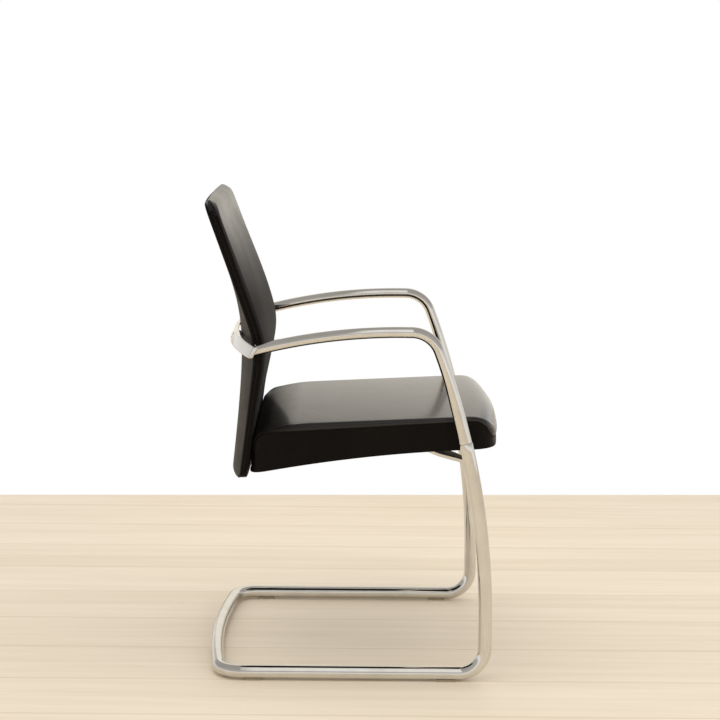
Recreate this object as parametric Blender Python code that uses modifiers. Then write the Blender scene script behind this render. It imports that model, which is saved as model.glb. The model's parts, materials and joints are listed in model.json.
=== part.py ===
"""Sled base visitor chair: a bent chrome tube frame with arms and a padded leather seat and back.

Metres, +Z up. The chair faces -Y and stands on z = 0. The sitter's right is -X.
"""
import math

import bmesh
import bpy
from mathutils import Matrix, Vector

# Fits
FIT_GAP = 0.0003
SCREW_CLEARANCE = 0.0004
SPIGOT_CLEARANCE = 0.0005
SLOT_CLEARANCE = 0.0006

# Seat
SEAT_WIDTH = 0.450
SEAT_DEPTH = 0.4655
SEAT_FRONT = -0.279
SEAT_UNDERSIDE_FRONT = 0.4305
SEAT_UNDERSIDE_SLOPE = 0.0225
SEAT_UNDERSIDE_RADIUS = 2.62
SEAT_SEAM_FRONT = 0.4866
SEAT_SEAM_SLOPE = 0.0666
SEAT_TOP_RISE = 0.0063
SEAT_TOP_GAIN = 0.0166
SEAT_CROWN = 0.006
SEAT_FRONT_CORNER = 0.045
SEAT_REAR_CORNER = 0.030
SEAT_NOSE_BOW = 0.008
SEAT_NOSE_RADIUS = 0.050
SEAT_TAIL_FALL = 0.027
SEAT_TAIL_FALL_REACH = 0.085
SEAT_NOSE_DROP = 0.022
SEAT_NOSE_REACH = 0.034
SEAT_TAIL_DROP = 0.016
SEAT_TAIL_REACH = 0.034
SEAT_UNDERSIDE_THICKNESS = 0.0025
SEAT_BOARD_THICKNESS = 0.012
BOARD_CORNER_EASE = 0.016
BOARD_SIDE_EASE = 0.0018
SEAT_NOSE_UNDERCUT = 0.0025
SEAT_SIDE_UNDERCUT = 0.0025
SEAT_TAIL_UNDERCUT = 0.001
SEAT_DRAW_IN = 0.003
SEAT_SIDE_ROLL = 0.010
SEAT_NOSE_ROLL = 0.006
SEAT_TAIL_ROLL = 0.014
SEAT_TAIL_LEAN = 0.008
SEAT_FULL_SHARE = 0.97
SEAT_DRAWN_SHARE = 0.45
LEATHER_THICKNESS = 0.0015
FOAM_EASE = 0.0014
FOAM_REST_EASE = 0.0008

# Frame tubes
SEAT_TO_LEG_GAP = 0.0275
BASE_TUBE_DIAMETER = 0.025
BASE_TUBE_WALL = 0.002
GLIDE_LIFT = 0.0018
LEG_FRONT = -0.252
FRONT_BEND_RADIUS = 0.048
LEG_STRAIGHT_TOP = 0.107
LEG_ARC_RADIUS = 1.435
SEAM_HEIGHT = 0.450
CROSSBAR_REAR = 0.2585
CROSSBAR_BOW = 0.021
REAR_CORNER_RADIUS = 0.045
ARM_TUBE_DIAMETER = 0.0235
ARM_TUBE_WALL = 0.00175
ARM_DEPTH = 0.020
ARM_WIDTH = 0.027
ARM_APEX_HEIGHT = 0.6514
ARM_APEX_DEPTH = -0.0937
ARM_ARC_RADIUS = 1.04
ARM_BEND_RADIUS = 0.052
ARM_TAPER_START = 0.035
ARM_TAPER_LENGTH = 0.120
SPIGOT_LENGTH = 0.070
SPIGOT_SHOULDER = 0.0002
GLIDE_LENGTH = 0.032
GLIDE_WIDTH = 0.016
GLIDE_HEIGHT = 0.0055
GLIDE_SETBACK = 0.022

# Back
BACK_WIDTH = 0.430
BACK_TOP = 0.882
BACK_BOTTOM = 0.367
BACK_FOOT_BOW = 0.010
BACK_CORNER = 0.036
BACK_FOOT_CORNER = 0.018
BACK_WAIST_HEIGHT = 0.618
BACK_UPPER_LEAN = math.radians(20.15)
BACK_LOWER_LEAN = math.radians(7.2)
BACK_BOW = 0.0162
PAD_FOOT_TAPER = 0.070
EDGE_BEND_SOFTNESS = 0.0055
SPINE_BEND_SOFTNESS = 0.0299
PAD_BEND_SOFTNESS = 0.006
SEAT_BACK_GAP = 0.0038
PAD_FOOT_EDGE = 0.0115
PAD_WAIST_EDGE = 0.0175
PAD_UPPER_EDGE = 0.0180
PAD_CROWN = 0.002
LUMBAR_CROWN = 0.0115
LUMBAR_HEIGHT = 0.705
LUMBAR_SPREAD = 0.085
BACK_DRAW_IN = 0.001
PAD_ROLL = 0.003
PAD_FULL_SHARE = 0.25
PAD_DRAWN_SHARE = 0.60
BACK_SHELL_THICKNESS = 0.005
REAR_COVER_THICKNESS = 0.0025
REAR_COVER_EASE = 0.0011

# Rear band between the arms
BAND_BOW = 0.045
BAND_THICKNESS = 0.008
BAND_HEIGHT = 0.021
BAND_STAND_OFF = 0.0085
BAND_EDGE_RADIUS = 0.0015
BAND_SCREW_SPACING = 0.140
BAND_SCREW_RECESS = 0.0041
BAND_SPACER_DIAMETER = 0.017

# Seat carrier between the legs
CARRIER_BOW = 0.094
CARRIER_SETBACK = 0.1605
CARRIER_WIDTH = 0.034
CARRIER_END_WIDTH = 0.020
CARRIER_END_TAPER = 0.070
CARRIER_THICKNESS = 0.008
CARRIER_EDGE_RADIUS = 0.0015
CARRIER_SPACER_HEIGHT = 0.0045
CARRIER_SPACER_DIAMETER = 0.022
CARRIER_SPACER_EASE = 0.0009
SEAT_BOLT_INNER = 0.060
SEAT_BOLT_OUTER = 0.150

# Brackets that tie the foot of the back to the seat board
BRACKET_SPACING = 0.240
BRACKET_WIDTH = 0.035
BRACKET_THICKNESS = 0.003
BRACKET_SEAT_LEG = 0.060
BRACKET_BACK_LEG = 0.040
BRACKET_EASE = 0.0003
BRACKET_SHELL_EASE = 0.0018

# Fasteners
SCREW_DIAMETER = 0.006
SCREW_HEAD_DIAMETER = 0.011
SCREW_HEAD_HEIGHT = 0.0035
SCREW_SOCKET_DIAMETER = 0.004
SCREW_SOCKET_DEPTH = 0.002
SCREW_CROWN_SHARE = 0.65
SCREW_RIM_SHARE = 0.35
INSERT_DIAMETER = 0.010
SEAT_INSERT_HEIGHT = 0.009
BACK_INSERT_HEIGHT = 0.0035
DRILL_OVERRUN = 0.006
BRACKET_SCREW_DIAMETER = 0.004
BRACKET_SCREW_HEAD_DIAMETER = 0.008
BRACKET_SCREW_HEAD_HEIGHT = 0.0025
BRACKET_SCREW_SEAT_GRIP = 0.009
BRACKET_SCREW_BACK_GRIP = 0.002
BRACKET_SCREW_SETBACK = 0.012

# Facets
TUBE_SIDES = 12
TUBE_RESOLUTION = TUBE_SIDES // 2 - 2
TURNED_STEPS = 12
LEG_STEPS = 6
BEND_STEPS = 6
ARM_STEPS = 9
CROSSBAR_STEPS = 8
BAND_STEPS = 14
COVER_LEVELS = 1
ROUNDING_WEIGHTS = (1 / 8, 6 / 8, 1 / 8)
STIFFENING_PASSES = 3
SIDES = (("right", -1.0), ("left", 1.0))
UP = (0.0, 0.0, 1.0)
DOWN = (0.0, 0.0, -1.0)
FORWARDS = (0.0, -1.0, 0.0)
REARWARDS = (0.0, 1.0, 0.0)

# Sizes that follow from the driving ones
FRAME_HALF_WIDTH = SEAT_WIDTH / 2 + SEAT_TO_LEG_GAP + BASE_TUBE_DIAMETER / 2
RUNNER_HEIGHT = BASE_TUBE_DIAMETER / 2 + GLIDE_LIFT
SEAT_REAR = SEAT_FRONT + SEAT_DEPTH
SKIN = LEATHER_THICKNESS + FOAM_EASE
BOARD_LOW = SEAT_UNDERSIDE_THICKNESS + FIT_GAP
BOARD_HIGH = BOARD_LOW + SEAT_BOARD_THICKNESS
WAIST_DEPTH = (
    SEAT_REAR
    + SEAT_BACK_GAP
    + PAD_FOOT_EDGE
    - math.tan(BACK_LOWER_LEAN) * (BACK_WAIST_HEIGHT - BACK_BOTTOM)
)


def clear_scene():
    """Remove every object of the scene the script starts in."""
    for item in list(bpy.data.objects):
        bpy.data.objects.remove(item, do_unlink=True)


def new_collection(name):
    """A collection linked to the scene."""
    collection = bpy.data.collections.new(name)
    bpy.context.scene.collection.children.link(collection)
    return collection


def new_material(name, colour, roughness, metallic):
    """A plain Principled material."""
    material = bpy.data.materials.new(name)
    material.use_nodes = True
    shader = material.node_tree.nodes["Principled BSDF"]
    shader.inputs["Base Color"].default_value = (*colour, 1.0)
    shader.inputs["Roughness"].default_value = roughness
    shader.inputs["Metallic"].default_value = metallic
    material.diffuse_color = (*colour, 1.0)
    return material


clear_scene()
CHAIR = new_collection("sled_base_visitor_chair")
CUTTERS = new_collection("cutters")
CHROME = new_material("chrome", (0.80, 0.80, 0.79), 0.08, 1.0)
LEATHER = new_material("black_leather", (0.022, 0.020, 0.019), 0.42, 0.0)
FOAM = new_material("seat_foam", (0.72, 0.67, 0.52), 0.95, 0.0)
PLYWOOD = new_material("plywood", (0.55, 0.38, 0.21), 0.6, 0.0)
PLASTIC = new_material("black_plastic", (0.020, 0.020, 0.021), 0.5, 0.0)
CLEAR = new_material("clear_plastic", (0.78, 0.75, 0.68), 0.2, 0.0)
ZINC = new_material("zinc_steel", (0.55, 0.55, 0.54), 0.35, 1.0)


def add_part(name, data, material):
    """Place mesh or curve data in the chair's collection under its own name."""
    part = bpy.data.objects.new(name, data)
    data.materials.append(material)
    CHAIR.objects.link(part)
    return part


def add_cutter(name, data):
    """Place a tool body that only cuts other parts."""
    cutter = bpy.data.objects.new(name, data)
    cutter.hide_render = True
    cutter.display_type = "WIRE"
    CUTTERS.objects.link(cutter)
    return cutter


def mesh_from(name, bm, smooth_angle=40.0):
    """Turn a bmesh into shaded mesh data with its faces pointing out."""
    bmesh.ops.recalc_face_normals(bm, faces=bm.faces[:])
    mesh = bpy.data.meshes.new(name)
    bm.to_mesh(mesh)
    bm.free()
    mesh.shade_smooth()
    mesh.set_sharp_from_angle(angle=math.radians(smooth_angle))
    return mesh


def cut(part, cutter):
    """Take a cutter away from a part."""
    boolean = part.modifiers.new("cut_" + cutter.name, "BOOLEAN")
    boolean.operation = "DIFFERENCE"
    boolean.solver = "EXACT"
    boolean.object = cutter


def round_edges(part, radius, segments=1):
    """Round the sharp edges of a part."""
    bevel = part.modifiers.new("round_edges", "BEVEL")
    bevel.width = radius
    bevel.segments = segments
    bevel.limit_method = "ANGLE"
    bevel.angle_limit = math.radians(50.0)


def mix(first, second, share):
    """Straight blend from first to second."""
    return first + (second - first) * share


def smooth_step(share):
    """Ease from 0 to 1 with flat ends."""
    held = min(1.0, max(0.0, share))
    return held * held * (3.0 - 2.0 * held)


def soft_max(first, second, softness):
    """The larger of two values, with the corner between them rounded off."""
    return (first + second) / 2 + math.hypot((first - second) / 2, softness)


def corner_loss(distance, radius):
    """How far a rounded corner draws a side in at a distance from its end."""
    if distance >= radius:
        return 0.0
    return radius - math.sqrt(radius**2 - (radius - max(distance, 0.0)) ** 2)


# Lofts

def join_rings(bm, rings, closed=True):
    """Skin neighbouring rings with quads and return the ring vertices."""
    made = [[bm.verts.new(point) for point in ring] for ring in rings]
    for ring, following in zip(made, made[1:]):
        count = len(ring)
        for index in range(count if closed else count - 1):
            after = (index + 1) % count
            bm.faces.new((ring[index], ring[after], following[after], following[index]))
    return made


def solid_loft(name, rings, smooth_angle=40.0):
    """A closed body through rings, with flat caps at both ends."""
    bm = bmesh.new()
    made = join_rings(bm, rings)
    bm.faces.new(made[0])
    bm.faces.new(made[-1])
    return mesh_from(name, bm, smooth_angle)


def hollow_loft(name, outer_rings, inner_rings):
    """A tube wall between outer and inner rings, open at both ends."""
    bm = bmesh.new()
    outer = join_rings(bm, outer_rings)
    inner = join_rings(bm, inner_rings)
    for end in (0, -1):
        count = len(outer[end])
        for index in range(count):
            after = (index + 1) % count
            corners = (outer[end][index], outer[end][after], inner[end][after], inner[end][index])
            bm.faces.new(corners)
    return mesh_from(name, bm)


def ellipse_ring(centre, across, along, half_across, half_along):
    """Points round an ellipse in the plane of two unit vectors."""
    ring = []
    for index in range(TUBE_SIDES):
        angle = 2 * math.pi * index / TUBE_SIDES
        ring.append(centre + across * (half_across * math.cos(angle)) + along * (half_along * math.sin(angle)))
    return ring


def poly_curve(name, points, radius, radii=None, filled=False):
    """A round bar or an open tube skin along a chain of points."""
    curve = bpy.data.curves.new(name, "CURVE")
    curve.dimensions = "3D"
    curve.bevel_depth = radius
    curve.bevel_resolution = TUBE_RESOLUTION
    curve.use_fill_caps = filled
    spline = curve.splines.new("POLY")
    spline.points.add(len(points) - 1)
    for index, point in enumerate(points):
        spline.points[index].co = (*point, 1.0)
        if radii:
            spline.points[index].radius = radii[index] / radius
    return curve


def turned(name, profile):
    """Turn a chain of (radius, height) pairs, top to bottom on the outer side, about Z."""
    mesh = bpy.data.meshes.new(name)
    points = [(radius, 0.0, height) for radius, height in profile]
    edges = [(index, index + 1) for index in range(len(points) - 1)]
    mesh.from_pydata(points, edges, [])
    return mesh


def spin(part):
    """Turn a part's profile into a round body."""
    screw = part.modifiers.new("turn", "SCREW")
    screw.axis = "Z"
    screw.steps = TURNED_STEPS
    screw.render_steps = TURNED_STEPS
    screw.use_merge_vertices = True
    screw.merge_threshold = 0.00001
    screw.use_smooth_shade = False


def drill(name, centre, axis, diameter, length):
    """A round cutter centred on a point, with its flats on the stated diameter."""
    bm = bmesh.new()
    radius = diameter / 2 / math.cos(math.pi / TURNED_STEPS)
    bmesh.ops.create_cone(
        bm, cap_ends=True, segments=TURNED_STEPS, radius1=radius, radius2=radius, depth=length
    )
    turn = Vector(axis).to_track_quat("Z", "Y").to_matrix().to_4x4()
    bmesh.ops.transform(bm, matrix=Matrix.Translation(centre) @ turn, verts=bm.verts[:])
    return add_cutter(name, mesh_from(name, bm))


# Frame lines

def leg_depth(height):
    """Depth of the leg's centre line at a height above the straight foot."""
    rise = max(0.0, height - LEG_STRAIGHT_TOP)
    return LEG_FRONT + LEG_ARC_RADIUS - math.sqrt(LEG_ARC_RADIUS**2 - rise**2)


def arm_height(depth):
    """Height of the arm's centre line at a depth."""
    reach = depth - ARM_APEX_DEPTH
    return ARM_APEX_HEIGHT - ARM_ARC_RADIUS + math.sqrt(ARM_ARC_RADIUS**2 - reach**2)


def seam_heading():
    """Heading of the leg at the seam, square to the end of the base tube, as (depth, height)."""
    below = mix(SEAM_HEIGHT, LEG_STRAIGHT_TOP, 1 / LEG_STEPS)
    return Vector((leg_depth(SEAM_HEIGHT) - leg_depth(below), SEAM_HEIGHT - below)).normalized()


def arm_bend_centre():
    """Centre of the bend that is tangent to the leg's arc and to the arm's arc."""
    leg_centre = Vector((LEG_FRONT + LEG_ARC_RADIUS, LEG_STRAIGHT_TOP))
    arm_centre = Vector((ARM_APEX_DEPTH, ARM_APEX_HEIGHT - ARM_ARC_RADIUS))
    leg_reach = LEG_ARC_RADIUS - ARM_BEND_RADIUS
    arm_reach = ARM_ARC_RADIUS - ARM_BEND_RADIUS
    apart = arm_centre - leg_centre
    distance = apart.length
    along = (leg_reach**2 - arm_reach**2 + distance**2) / (2 * distance)
    aside = math.sqrt(leg_reach**2 - along**2)
    direction = apart / distance
    upward = Vector((direction.y, -direction.x))
    centre = leg_centre + direction * along + upward * aside
    leg_touch = centre + (centre - leg_centre).normalized() * ARM_BEND_RADIUS
    arm_touch = centre + (centre - arm_centre).normalized() * ARM_BEND_RADIUS
    return centre, leg_touch, arm_touch


def upper_line(end_depth):
    """Centre line of one arm tube from the leg seam to its rear end, as (depth, height)."""
    centre, leg_touch, arm_touch = arm_bend_centre()
    points = []
    start_height = SEAM_HEIGHT + FIT_GAP
    for step in range(LEG_STEPS):
        height = mix(start_height, leg_touch.y, step / LEG_STEPS)
        points.append(Vector((leg_depth(height), height)))
    first = math.atan2(leg_touch.y - centre.y, leg_touch.x - centre.x)
    last = math.atan2(arm_touch.y - centre.y, arm_touch.x - centre.x)
    for step in range(BEND_STEPS + 1):
        angle = mix(first, last, step / BEND_STEPS)
        points.append(centre + Vector((math.cos(angle), math.sin(angle))) * ARM_BEND_RADIUS)
    for step in range(1, ARM_STEPS + 1):
        depth = mix(arm_touch.x, end_depth, step / ARM_STEPS)
        points.append(Vector((depth, arm_height(depth))))
    return points


def base_side():
    """One side of the base tube, from the leg seam to the rear corner, as (across, depth, height)."""
    points = []
    for step in range(LEG_STEPS + 1):
        height = mix(SEAM_HEIGHT, LEG_STRAIGHT_TOP, step / LEG_STEPS)
        points.append((FRAME_HALF_WIDTH, leg_depth(height), height))
    bend_depth = LEG_FRONT + FRONT_BEND_RADIUS
    bend_height = RUNNER_HEIGHT + FRONT_BEND_RADIUS
    for step in range(BEND_STEPS + 1):
        angle = math.pi + math.pi / 2 * step / BEND_STEPS
        depth = bend_depth + FRONT_BEND_RADIUS * math.cos(angle)
        height = bend_height + FRONT_BEND_RADIUS * math.sin(angle)
        points.append((FRAME_HALF_WIDTH, depth, height))
    centre_across, centre_depth, last_angle = rear_corner()
    for step in range(BEND_STEPS + 1):
        angle = last_angle * step / BEND_STEPS
        across = centre_across + REAR_CORNER_RADIUS * math.cos(angle)
        depth = centre_depth + REAR_CORNER_RADIUS * math.sin(angle)
        points.append((across, depth, RUNNER_HEIGHT))
    return points


def crossbar_radius():
    """Radius of the bowed bar at the rear of the sled."""
    return (FRAME_HALF_WIDTH**2 + CROSSBAR_BOW**2) / (2 * CROSSBAR_BOW)


def rear_corner():
    """Plan centre of the corner between runner and crossbar, and the angle where it meets the crossbar."""
    radius = crossbar_radius()
    bar_centre = CROSSBAR_REAR - radius
    across = FRAME_HALF_WIDTH - REAR_CORNER_RADIUS
    depth = bar_centre + math.sqrt((radius - REAR_CORNER_RADIUS) ** 2 - across**2)
    angle = math.atan2(depth - bar_centre, across)
    return across, depth, angle


def crossbar_points():
    """Points along the bowed crossbar between its two corners."""
    radius = crossbar_radius()
    centre = CROSSBAR_REAR - radius
    first = rear_corner()[2]
    points = []
    for step in range(1, CROSSBAR_STEPS):
        angle = mix(first, math.pi - first, step / CROSSBAR_STEPS)
        points.append((radius * math.cos(angle), centre + radius * math.sin(angle), RUNNER_HEIGHT))
    return points


# Seat surfaces

def seat_underside(depth):
    """Height of the seat's lower edge at a depth."""
    run = depth - SEAT_FRONT
    return SEAT_UNDERSIDE_FRONT - SEAT_UNDERSIDE_SLOPE * run - run**2 / (2 * SEAT_UNDERSIDE_RADIUS)


def seat_seam(depth):
    """Height of the seam along the seat's side at a depth."""
    return SEAT_SEAM_FRONT - SEAT_SEAM_SLOPE * (depth - SEAT_FRONT)


def seat_shoulder_drop(depth):
    """How far the seat rolls down towards its nose and its tail."""
    nose = smooth_step(1.0 - (depth - SEAT_FRONT) / SEAT_NOSE_REACH)
    tail = smooth_step(1.0 - (SEAT_REAR - depth) / SEAT_TAIL_REACH)
    return SEAT_NOSE_DROP * nose + SEAT_TAIL_DROP * tail


def seat_fall(depth):
    """How far the top panel falls over the nose and over the tail."""
    nose_share = max(0.0, 1.0 - (depth - SEAT_FRONT) / SEAT_NOSE_RADIUS)
    tail_share = max(0.0, 1.0 - (SEAT_REAR - depth) / SEAT_TAIL_FALL_REACH)
    nose = SEAT_NOSE_RADIUS * (1.0 - math.sqrt(1.0 - nose_share**2))
    return nose + SEAT_TAIL_FALL * tail_share**2


def seat_top(across, depth, half_width):
    """Height of the crowned top of the seat."""
    share = min(1.0, abs(across) / half_width)
    crown = SEAT_CROWN * (1.0 - share**2)
    rise = SEAT_TOP_RISE + SEAT_TOP_GAIN * (depth - SEAT_FRONT)
    return seat_seam(depth) + rise + crown - seat_fall(depth)


# Back surfaces

def upper_back(height):
    """Depth of the straight upper part of the back's edge."""
    return WAIST_DEPTH + math.tan(BACK_UPPER_LEAN) * (height - BACK_WAIST_HEIGHT)


def lower_back(height):
    """Depth of the straight lower part of the back's edge."""
    return WAIST_DEPTH + math.tan(BACK_LOWER_LEAN) * (BACK_WAIST_HEIGHT - height)


def shell_rear(across, height):
    """Depth of the rear face of the bowed back shell."""
    edge = soft_max(upper_back(height), lower_back(height), EDGE_BEND_SOFTNESS)
    spine = soft_max(upper_back(height), lower_back(height) + BACK_BOW, SPINE_BEND_SOFTNESS)
    share = min(1.0, abs(across) / (BACK_WIDTH / 2))
    return edge + (spine - edge) * (1.0 - share**2)


def pad_edge(height):
    """Depth of the line where the back pad's front turns into its side."""
    seat_level = seat_seam(SEAT_REAR)
    waist_share = (height - seat_level) / (BACK_WAIST_HEIGHT - seat_level)
    lower_edge = mix(PAD_FOOT_EDGE, PAD_WAIST_EDGE, smooth_step(waist_share))
    return soft_max(upper_back(height) - PAD_UPPER_EDGE, lower_back(height) - lower_edge, PAD_BEND_SOFTNESS)


def pad_front(across, height):
    """Depth of the crowned front of the back pad."""
    share = min(1.0, abs(across) / (BACK_WIDTH / 2))
    offset = (height - LUMBAR_HEIGHT) / LUMBAR_SPREAD
    lumbar = LUMBAR_CROWN * math.exp(-(offset**2) / 2)
    clear_of_seat = smooth_step((height - seat_seam(SEAT_REAR)) / PAD_FOOT_TAPER)
    crown = (PAD_CROWN + lumbar) * (1.0 - share**4) * clear_of_seat
    return pad_edge(height) - crown


def back_half_width(height, inset):
    """Half of the back's width at a height, with its four corners rounded."""
    low = corner_loss(height - BACK_BOTTOM - inset, BACK_FOOT_CORNER)
    high = corner_loss(BACK_TOP - inset - height, BACK_CORNER)
    return BACK_WIDTH / 2 - inset - max(low, high)


def rear_cover_face(across, height):
    """Depth of the outer face of the rear cover."""
    return shell_rear(across, height) + REAR_COVER_EASE + REAR_COVER_THICKNESS


# Where the band and the arms end

def band_middle():
    """Depth of the band's front face at the centre and the height of its middle line."""
    height = arm_height(rear_cover_face(0.0, BACK_WAIST_HEIGHT) - BAND_BOW)
    for _ in range(4):
        depth = rear_cover_face(0.0, height) + BAND_STAND_OFF
        height = arm_height(depth - BAND_BOW)
    return depth, height


BAND_DEPTH, BAND_LEVEL = band_middle()
ARM_END = BAND_DEPTH - BAND_BOW


def band_front(across):
    """Depth of the band's front face."""
    return ARM_END + BAND_BOW * (1.0 - (across / FRAME_HALF_WIDTH) ** 2)


def band_rear(across):
    """Depth of the band's rear face."""
    return band_front(across) + BAND_THICKNESS


# Frame pieces

def make_base_tube():
    """The lower legs, runners and bowed crossbar, bent from one round tube."""
    side = base_side()
    mirrored = [(-across, depth, height) for across, depth, height in reversed(side)]
    curve = poly_curve("sled_base_tube", side + crossbar_points() + mirrored, BASE_TUBE_DIAMETER / 2)
    tube = add_part("sled_base_tube", curve, CHROME)
    wall = tube.modifiers.new("wall", "SOLIDIFY")
    wall.thickness = BASE_TUBE_WALL
    wall.offset = -1.0
    return tube


def make_arm_tube(side_name, side):
    """One upper leg and arm: a round tube at the seam, pressed oval along the arm."""
    line = upper_line(ARM_END)
    outer = []
    inner = []
    travelled = 0.0
    across = Vector((1.0, 0.0, 0.0))
    for index, point in enumerate(line):
        before = line[max(index - 1, 0)]
        after = line[min(index + 1, len(line) - 1)]
        travelled += (point - before).length
        heading = (after - before).normalized() if index else seam_heading()
        outward = Vector((0.0, -heading.y, heading.x))
        share = smooth_step((travelled - ARM_TAPER_START) / ARM_TAPER_LENGTH)
        half_depth = mix(ARM_TUBE_DIAMETER, ARM_DEPTH, share) / 2
        half_width = mix(ARM_TUBE_DIAMETER, ARM_WIDTH, share) / 2
        flush = outward * (ARM_TUBE_DIAMETER / 2 - half_depth)
        centre = Vector((side * FRAME_HALF_WIDTH, point.x, point.y)) + flush
        bore_width = half_width - ARM_TUBE_WALL
        bore_depth = half_depth - ARM_TUBE_WALL
        outer.append(ellipse_ring(centre, across, outward, half_width, half_depth))
        inner.append(ellipse_ring(centre, across, outward, bore_width, bore_depth))
    along = Vector((0.0, heading.x, heading.y))
    for rings in (outer, inner):
        rings[-1] = [meet_band(point, along) for point in rings[-1]]
    name = "arm_tube_" + side_name
    return add_part(name, hollow_loft(name, outer, inner), CHROME)


def meet_band(point, along):
    """Slide a point along the arm until it meets the band's front face."""
    travel = (band_front(point.x) - FIT_GAP - point.y) / along.y
    return point + along * travel


def make_spigot(side_name, side):
    """The turned plug inside the leg that joins the base tube to the arm tube."""
    lower = BASE_TUBE_DIAMETER / 2 - BASE_TUBE_WALL - SPIGOT_CLEARANCE
    upper = ARM_TUBE_DIAMETER / 2 - ARM_TUBE_WALL - SPIGOT_CLEARANCE
    half = SPIGOT_LENGTH / 2
    shoulder = SPIGOT_SHOULDER / 2
    stations = [
        (-half, lower),
        (-half / 2, lower),
        (-shoulder, lower),
        (shoulder, upper),
        (half / 2, upper),
        (half, upper),
    ]
    points = []
    for rise, _ in stations:
        height = SEAM_HEIGHT + rise
        points.append((side * FRAME_HALF_WIDTH, leg_depth(height), height))
    name = "leg_spigot_" + side_name
    curve = poly_curve(name, points, lower, [radius for _, radius in stations], filled=True)
    spigot = add_part(name, curve, ZINC)
    weld = spigot.modifiers.new("close_caps", "WELD")
    weld.merge_threshold = 0.00001
    return spigot


def make_glide(name, across, depth):
    """A saddle pad clipped under the runner, flat on the floor."""
    bm = bmesh.new()
    bmesh.ops.create_cube(bm, size=1.0)
    bmesh.ops.scale(bm, vec=(GLIDE_WIDTH, GLIDE_LENGTH, GLIDE_HEIGHT), verts=bm.verts[:])
    bmesh.ops.translate(bm, vec=(across, depth, GLIDE_HEIGHT / 2), verts=bm.verts[:])
    glide = add_part(name, mesh_from(name, bm), CLEAR)
    seat_of_tube = BASE_TUBE_DIAMETER + 2 * FIT_GAP
    groove = drill(
        name + "_groove", (across, depth, RUNNER_HEIGHT), REARWARDS, seat_of_tube, GLIDE_LENGTH + DRILL_OVERRUN
    )
    cut(glide, groove)
    return glide


def make_glides():
    """Four glides, near the two ends of each runner."""
    front = LEG_FRONT + FRONT_BEND_RADIUS + GLIDE_SETBACK
    rear = rear_corner()[1] - GLIDE_SETBACK
    for side_name, side in SIDES:
        make_glide("glide_front_" + side_name, side * FRAME_HALF_WIDTH, front)
        make_glide("glide_rear_" + side_name, side * FRAME_HALF_WIDTH, rear)


def bowed_bar(name, half_length, front_at, rear_at, low, height, edge_radius):
    """A flat bar bowed in plan between a front and a rear line, with its lower face at the height low."""
    sections = []
    for step in range(BAND_STEPS + 1):
        across = mix(-half_length, half_length, step / BAND_STEPS)
        front = front_at(across)
        rear = rear_at(across)
        corners = ((front, low), (rear, low), (rear, low + height), (front, low + height))
        sections.append([Vector((across, depth, level)) for depth, level in corners])
    bar = add_part(name, solid_loft(name, sections), CHROME)
    round_edges(bar, edge_radius)
    return bar


def make_band():
    """The flat bar that joins the arm ends behind the back."""
    half_length = FRAME_HALF_WIDTH + ARM_WIDTH / 2
    low = BAND_LEVEL - BAND_HEIGHT / 2
    return bowed_bar("back_band", half_length, band_front, band_rear, low, BAND_HEIGHT, BAND_EDGE_RADIUS)


def carrier_middle(across):
    """Depth of the carrier's middle line, bowed rearwards from the legs."""
    half_length = FRAME_HALF_WIDTH - BASE_TUBE_DIAMETER / 2
    at_leg = leg_depth(carrier_top() - CARRIER_THICKNESS / 2)
    return at_leg + CARRIER_BOW * (1.0 - (across / half_length) ** 2)


def carrier_top():
    """Height of the carrier's upper face."""
    return seat_underside(SEAT_FRONT + CARRIER_SETBACK) - CARRIER_SPACER_HEIGHT


def carrier_half_width(across):
    """Half of the carrier's width, tapered towards the legs."""
    from_leg = FRAME_HALF_WIDTH - BASE_TUBE_DIAMETER / 2 - abs(across)
    return mix(CARRIER_END_WIDTH, CARRIER_WIDTH, smooth_step(from_leg / CARRIER_END_TAPER)) / 2


def carrier_front(across):
    """Depth of the carrier's front edge."""
    return carrier_middle(across) - carrier_half_width(across)


def carrier_rear(across):
    """Depth of the carrier's rear edge."""
    return carrier_middle(across) + carrier_half_width(across)


def make_carrier():
    """The bowed flat bar between the legs that carries the seat."""
    half_length = FRAME_HALF_WIDTH - BASE_TUBE_DIAMETER / 2 - FIT_GAP
    low = carrier_top() - CARRIER_THICKNESS
    return bowed_bar(
        "seat_carrier", half_length, carrier_front, carrier_rear, low, CARRIER_THICKNESS, CARRIER_EDGE_RADIUS
    )


# Seat pieces

def softened(points, row, column):
    """Where rounding a cage would move one inner point of its grid."""
    total = Vector()
    for row_step, row_weight in enumerate(ROUNDING_WEIGHTS, -1):
        for column_step, column_weight in enumerate(ROUNDING_WEIGHTS, -1):
            total += points[row + row_step][column + column_step] * (row_weight * column_weight)
    return total


def stiff_grid(surface, columns, rows):
    """A grid over a surface, its inner points moved out so that the rounded body keeps to the surface."""
    wanted = [[surface(column, row) for column in columns] for row in rows]
    points = [line[:] for line in wanted]
    for _ in range(STIFFENING_PASSES):
        before = [line[:] for line in points]
        for row in range(1, len(rows) - 1):
            for column in range(1, len(columns) - 1):
                points[row][column] = before[row][column] + wanted[row][column] - softened(before, row, column)
    return points


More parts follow.
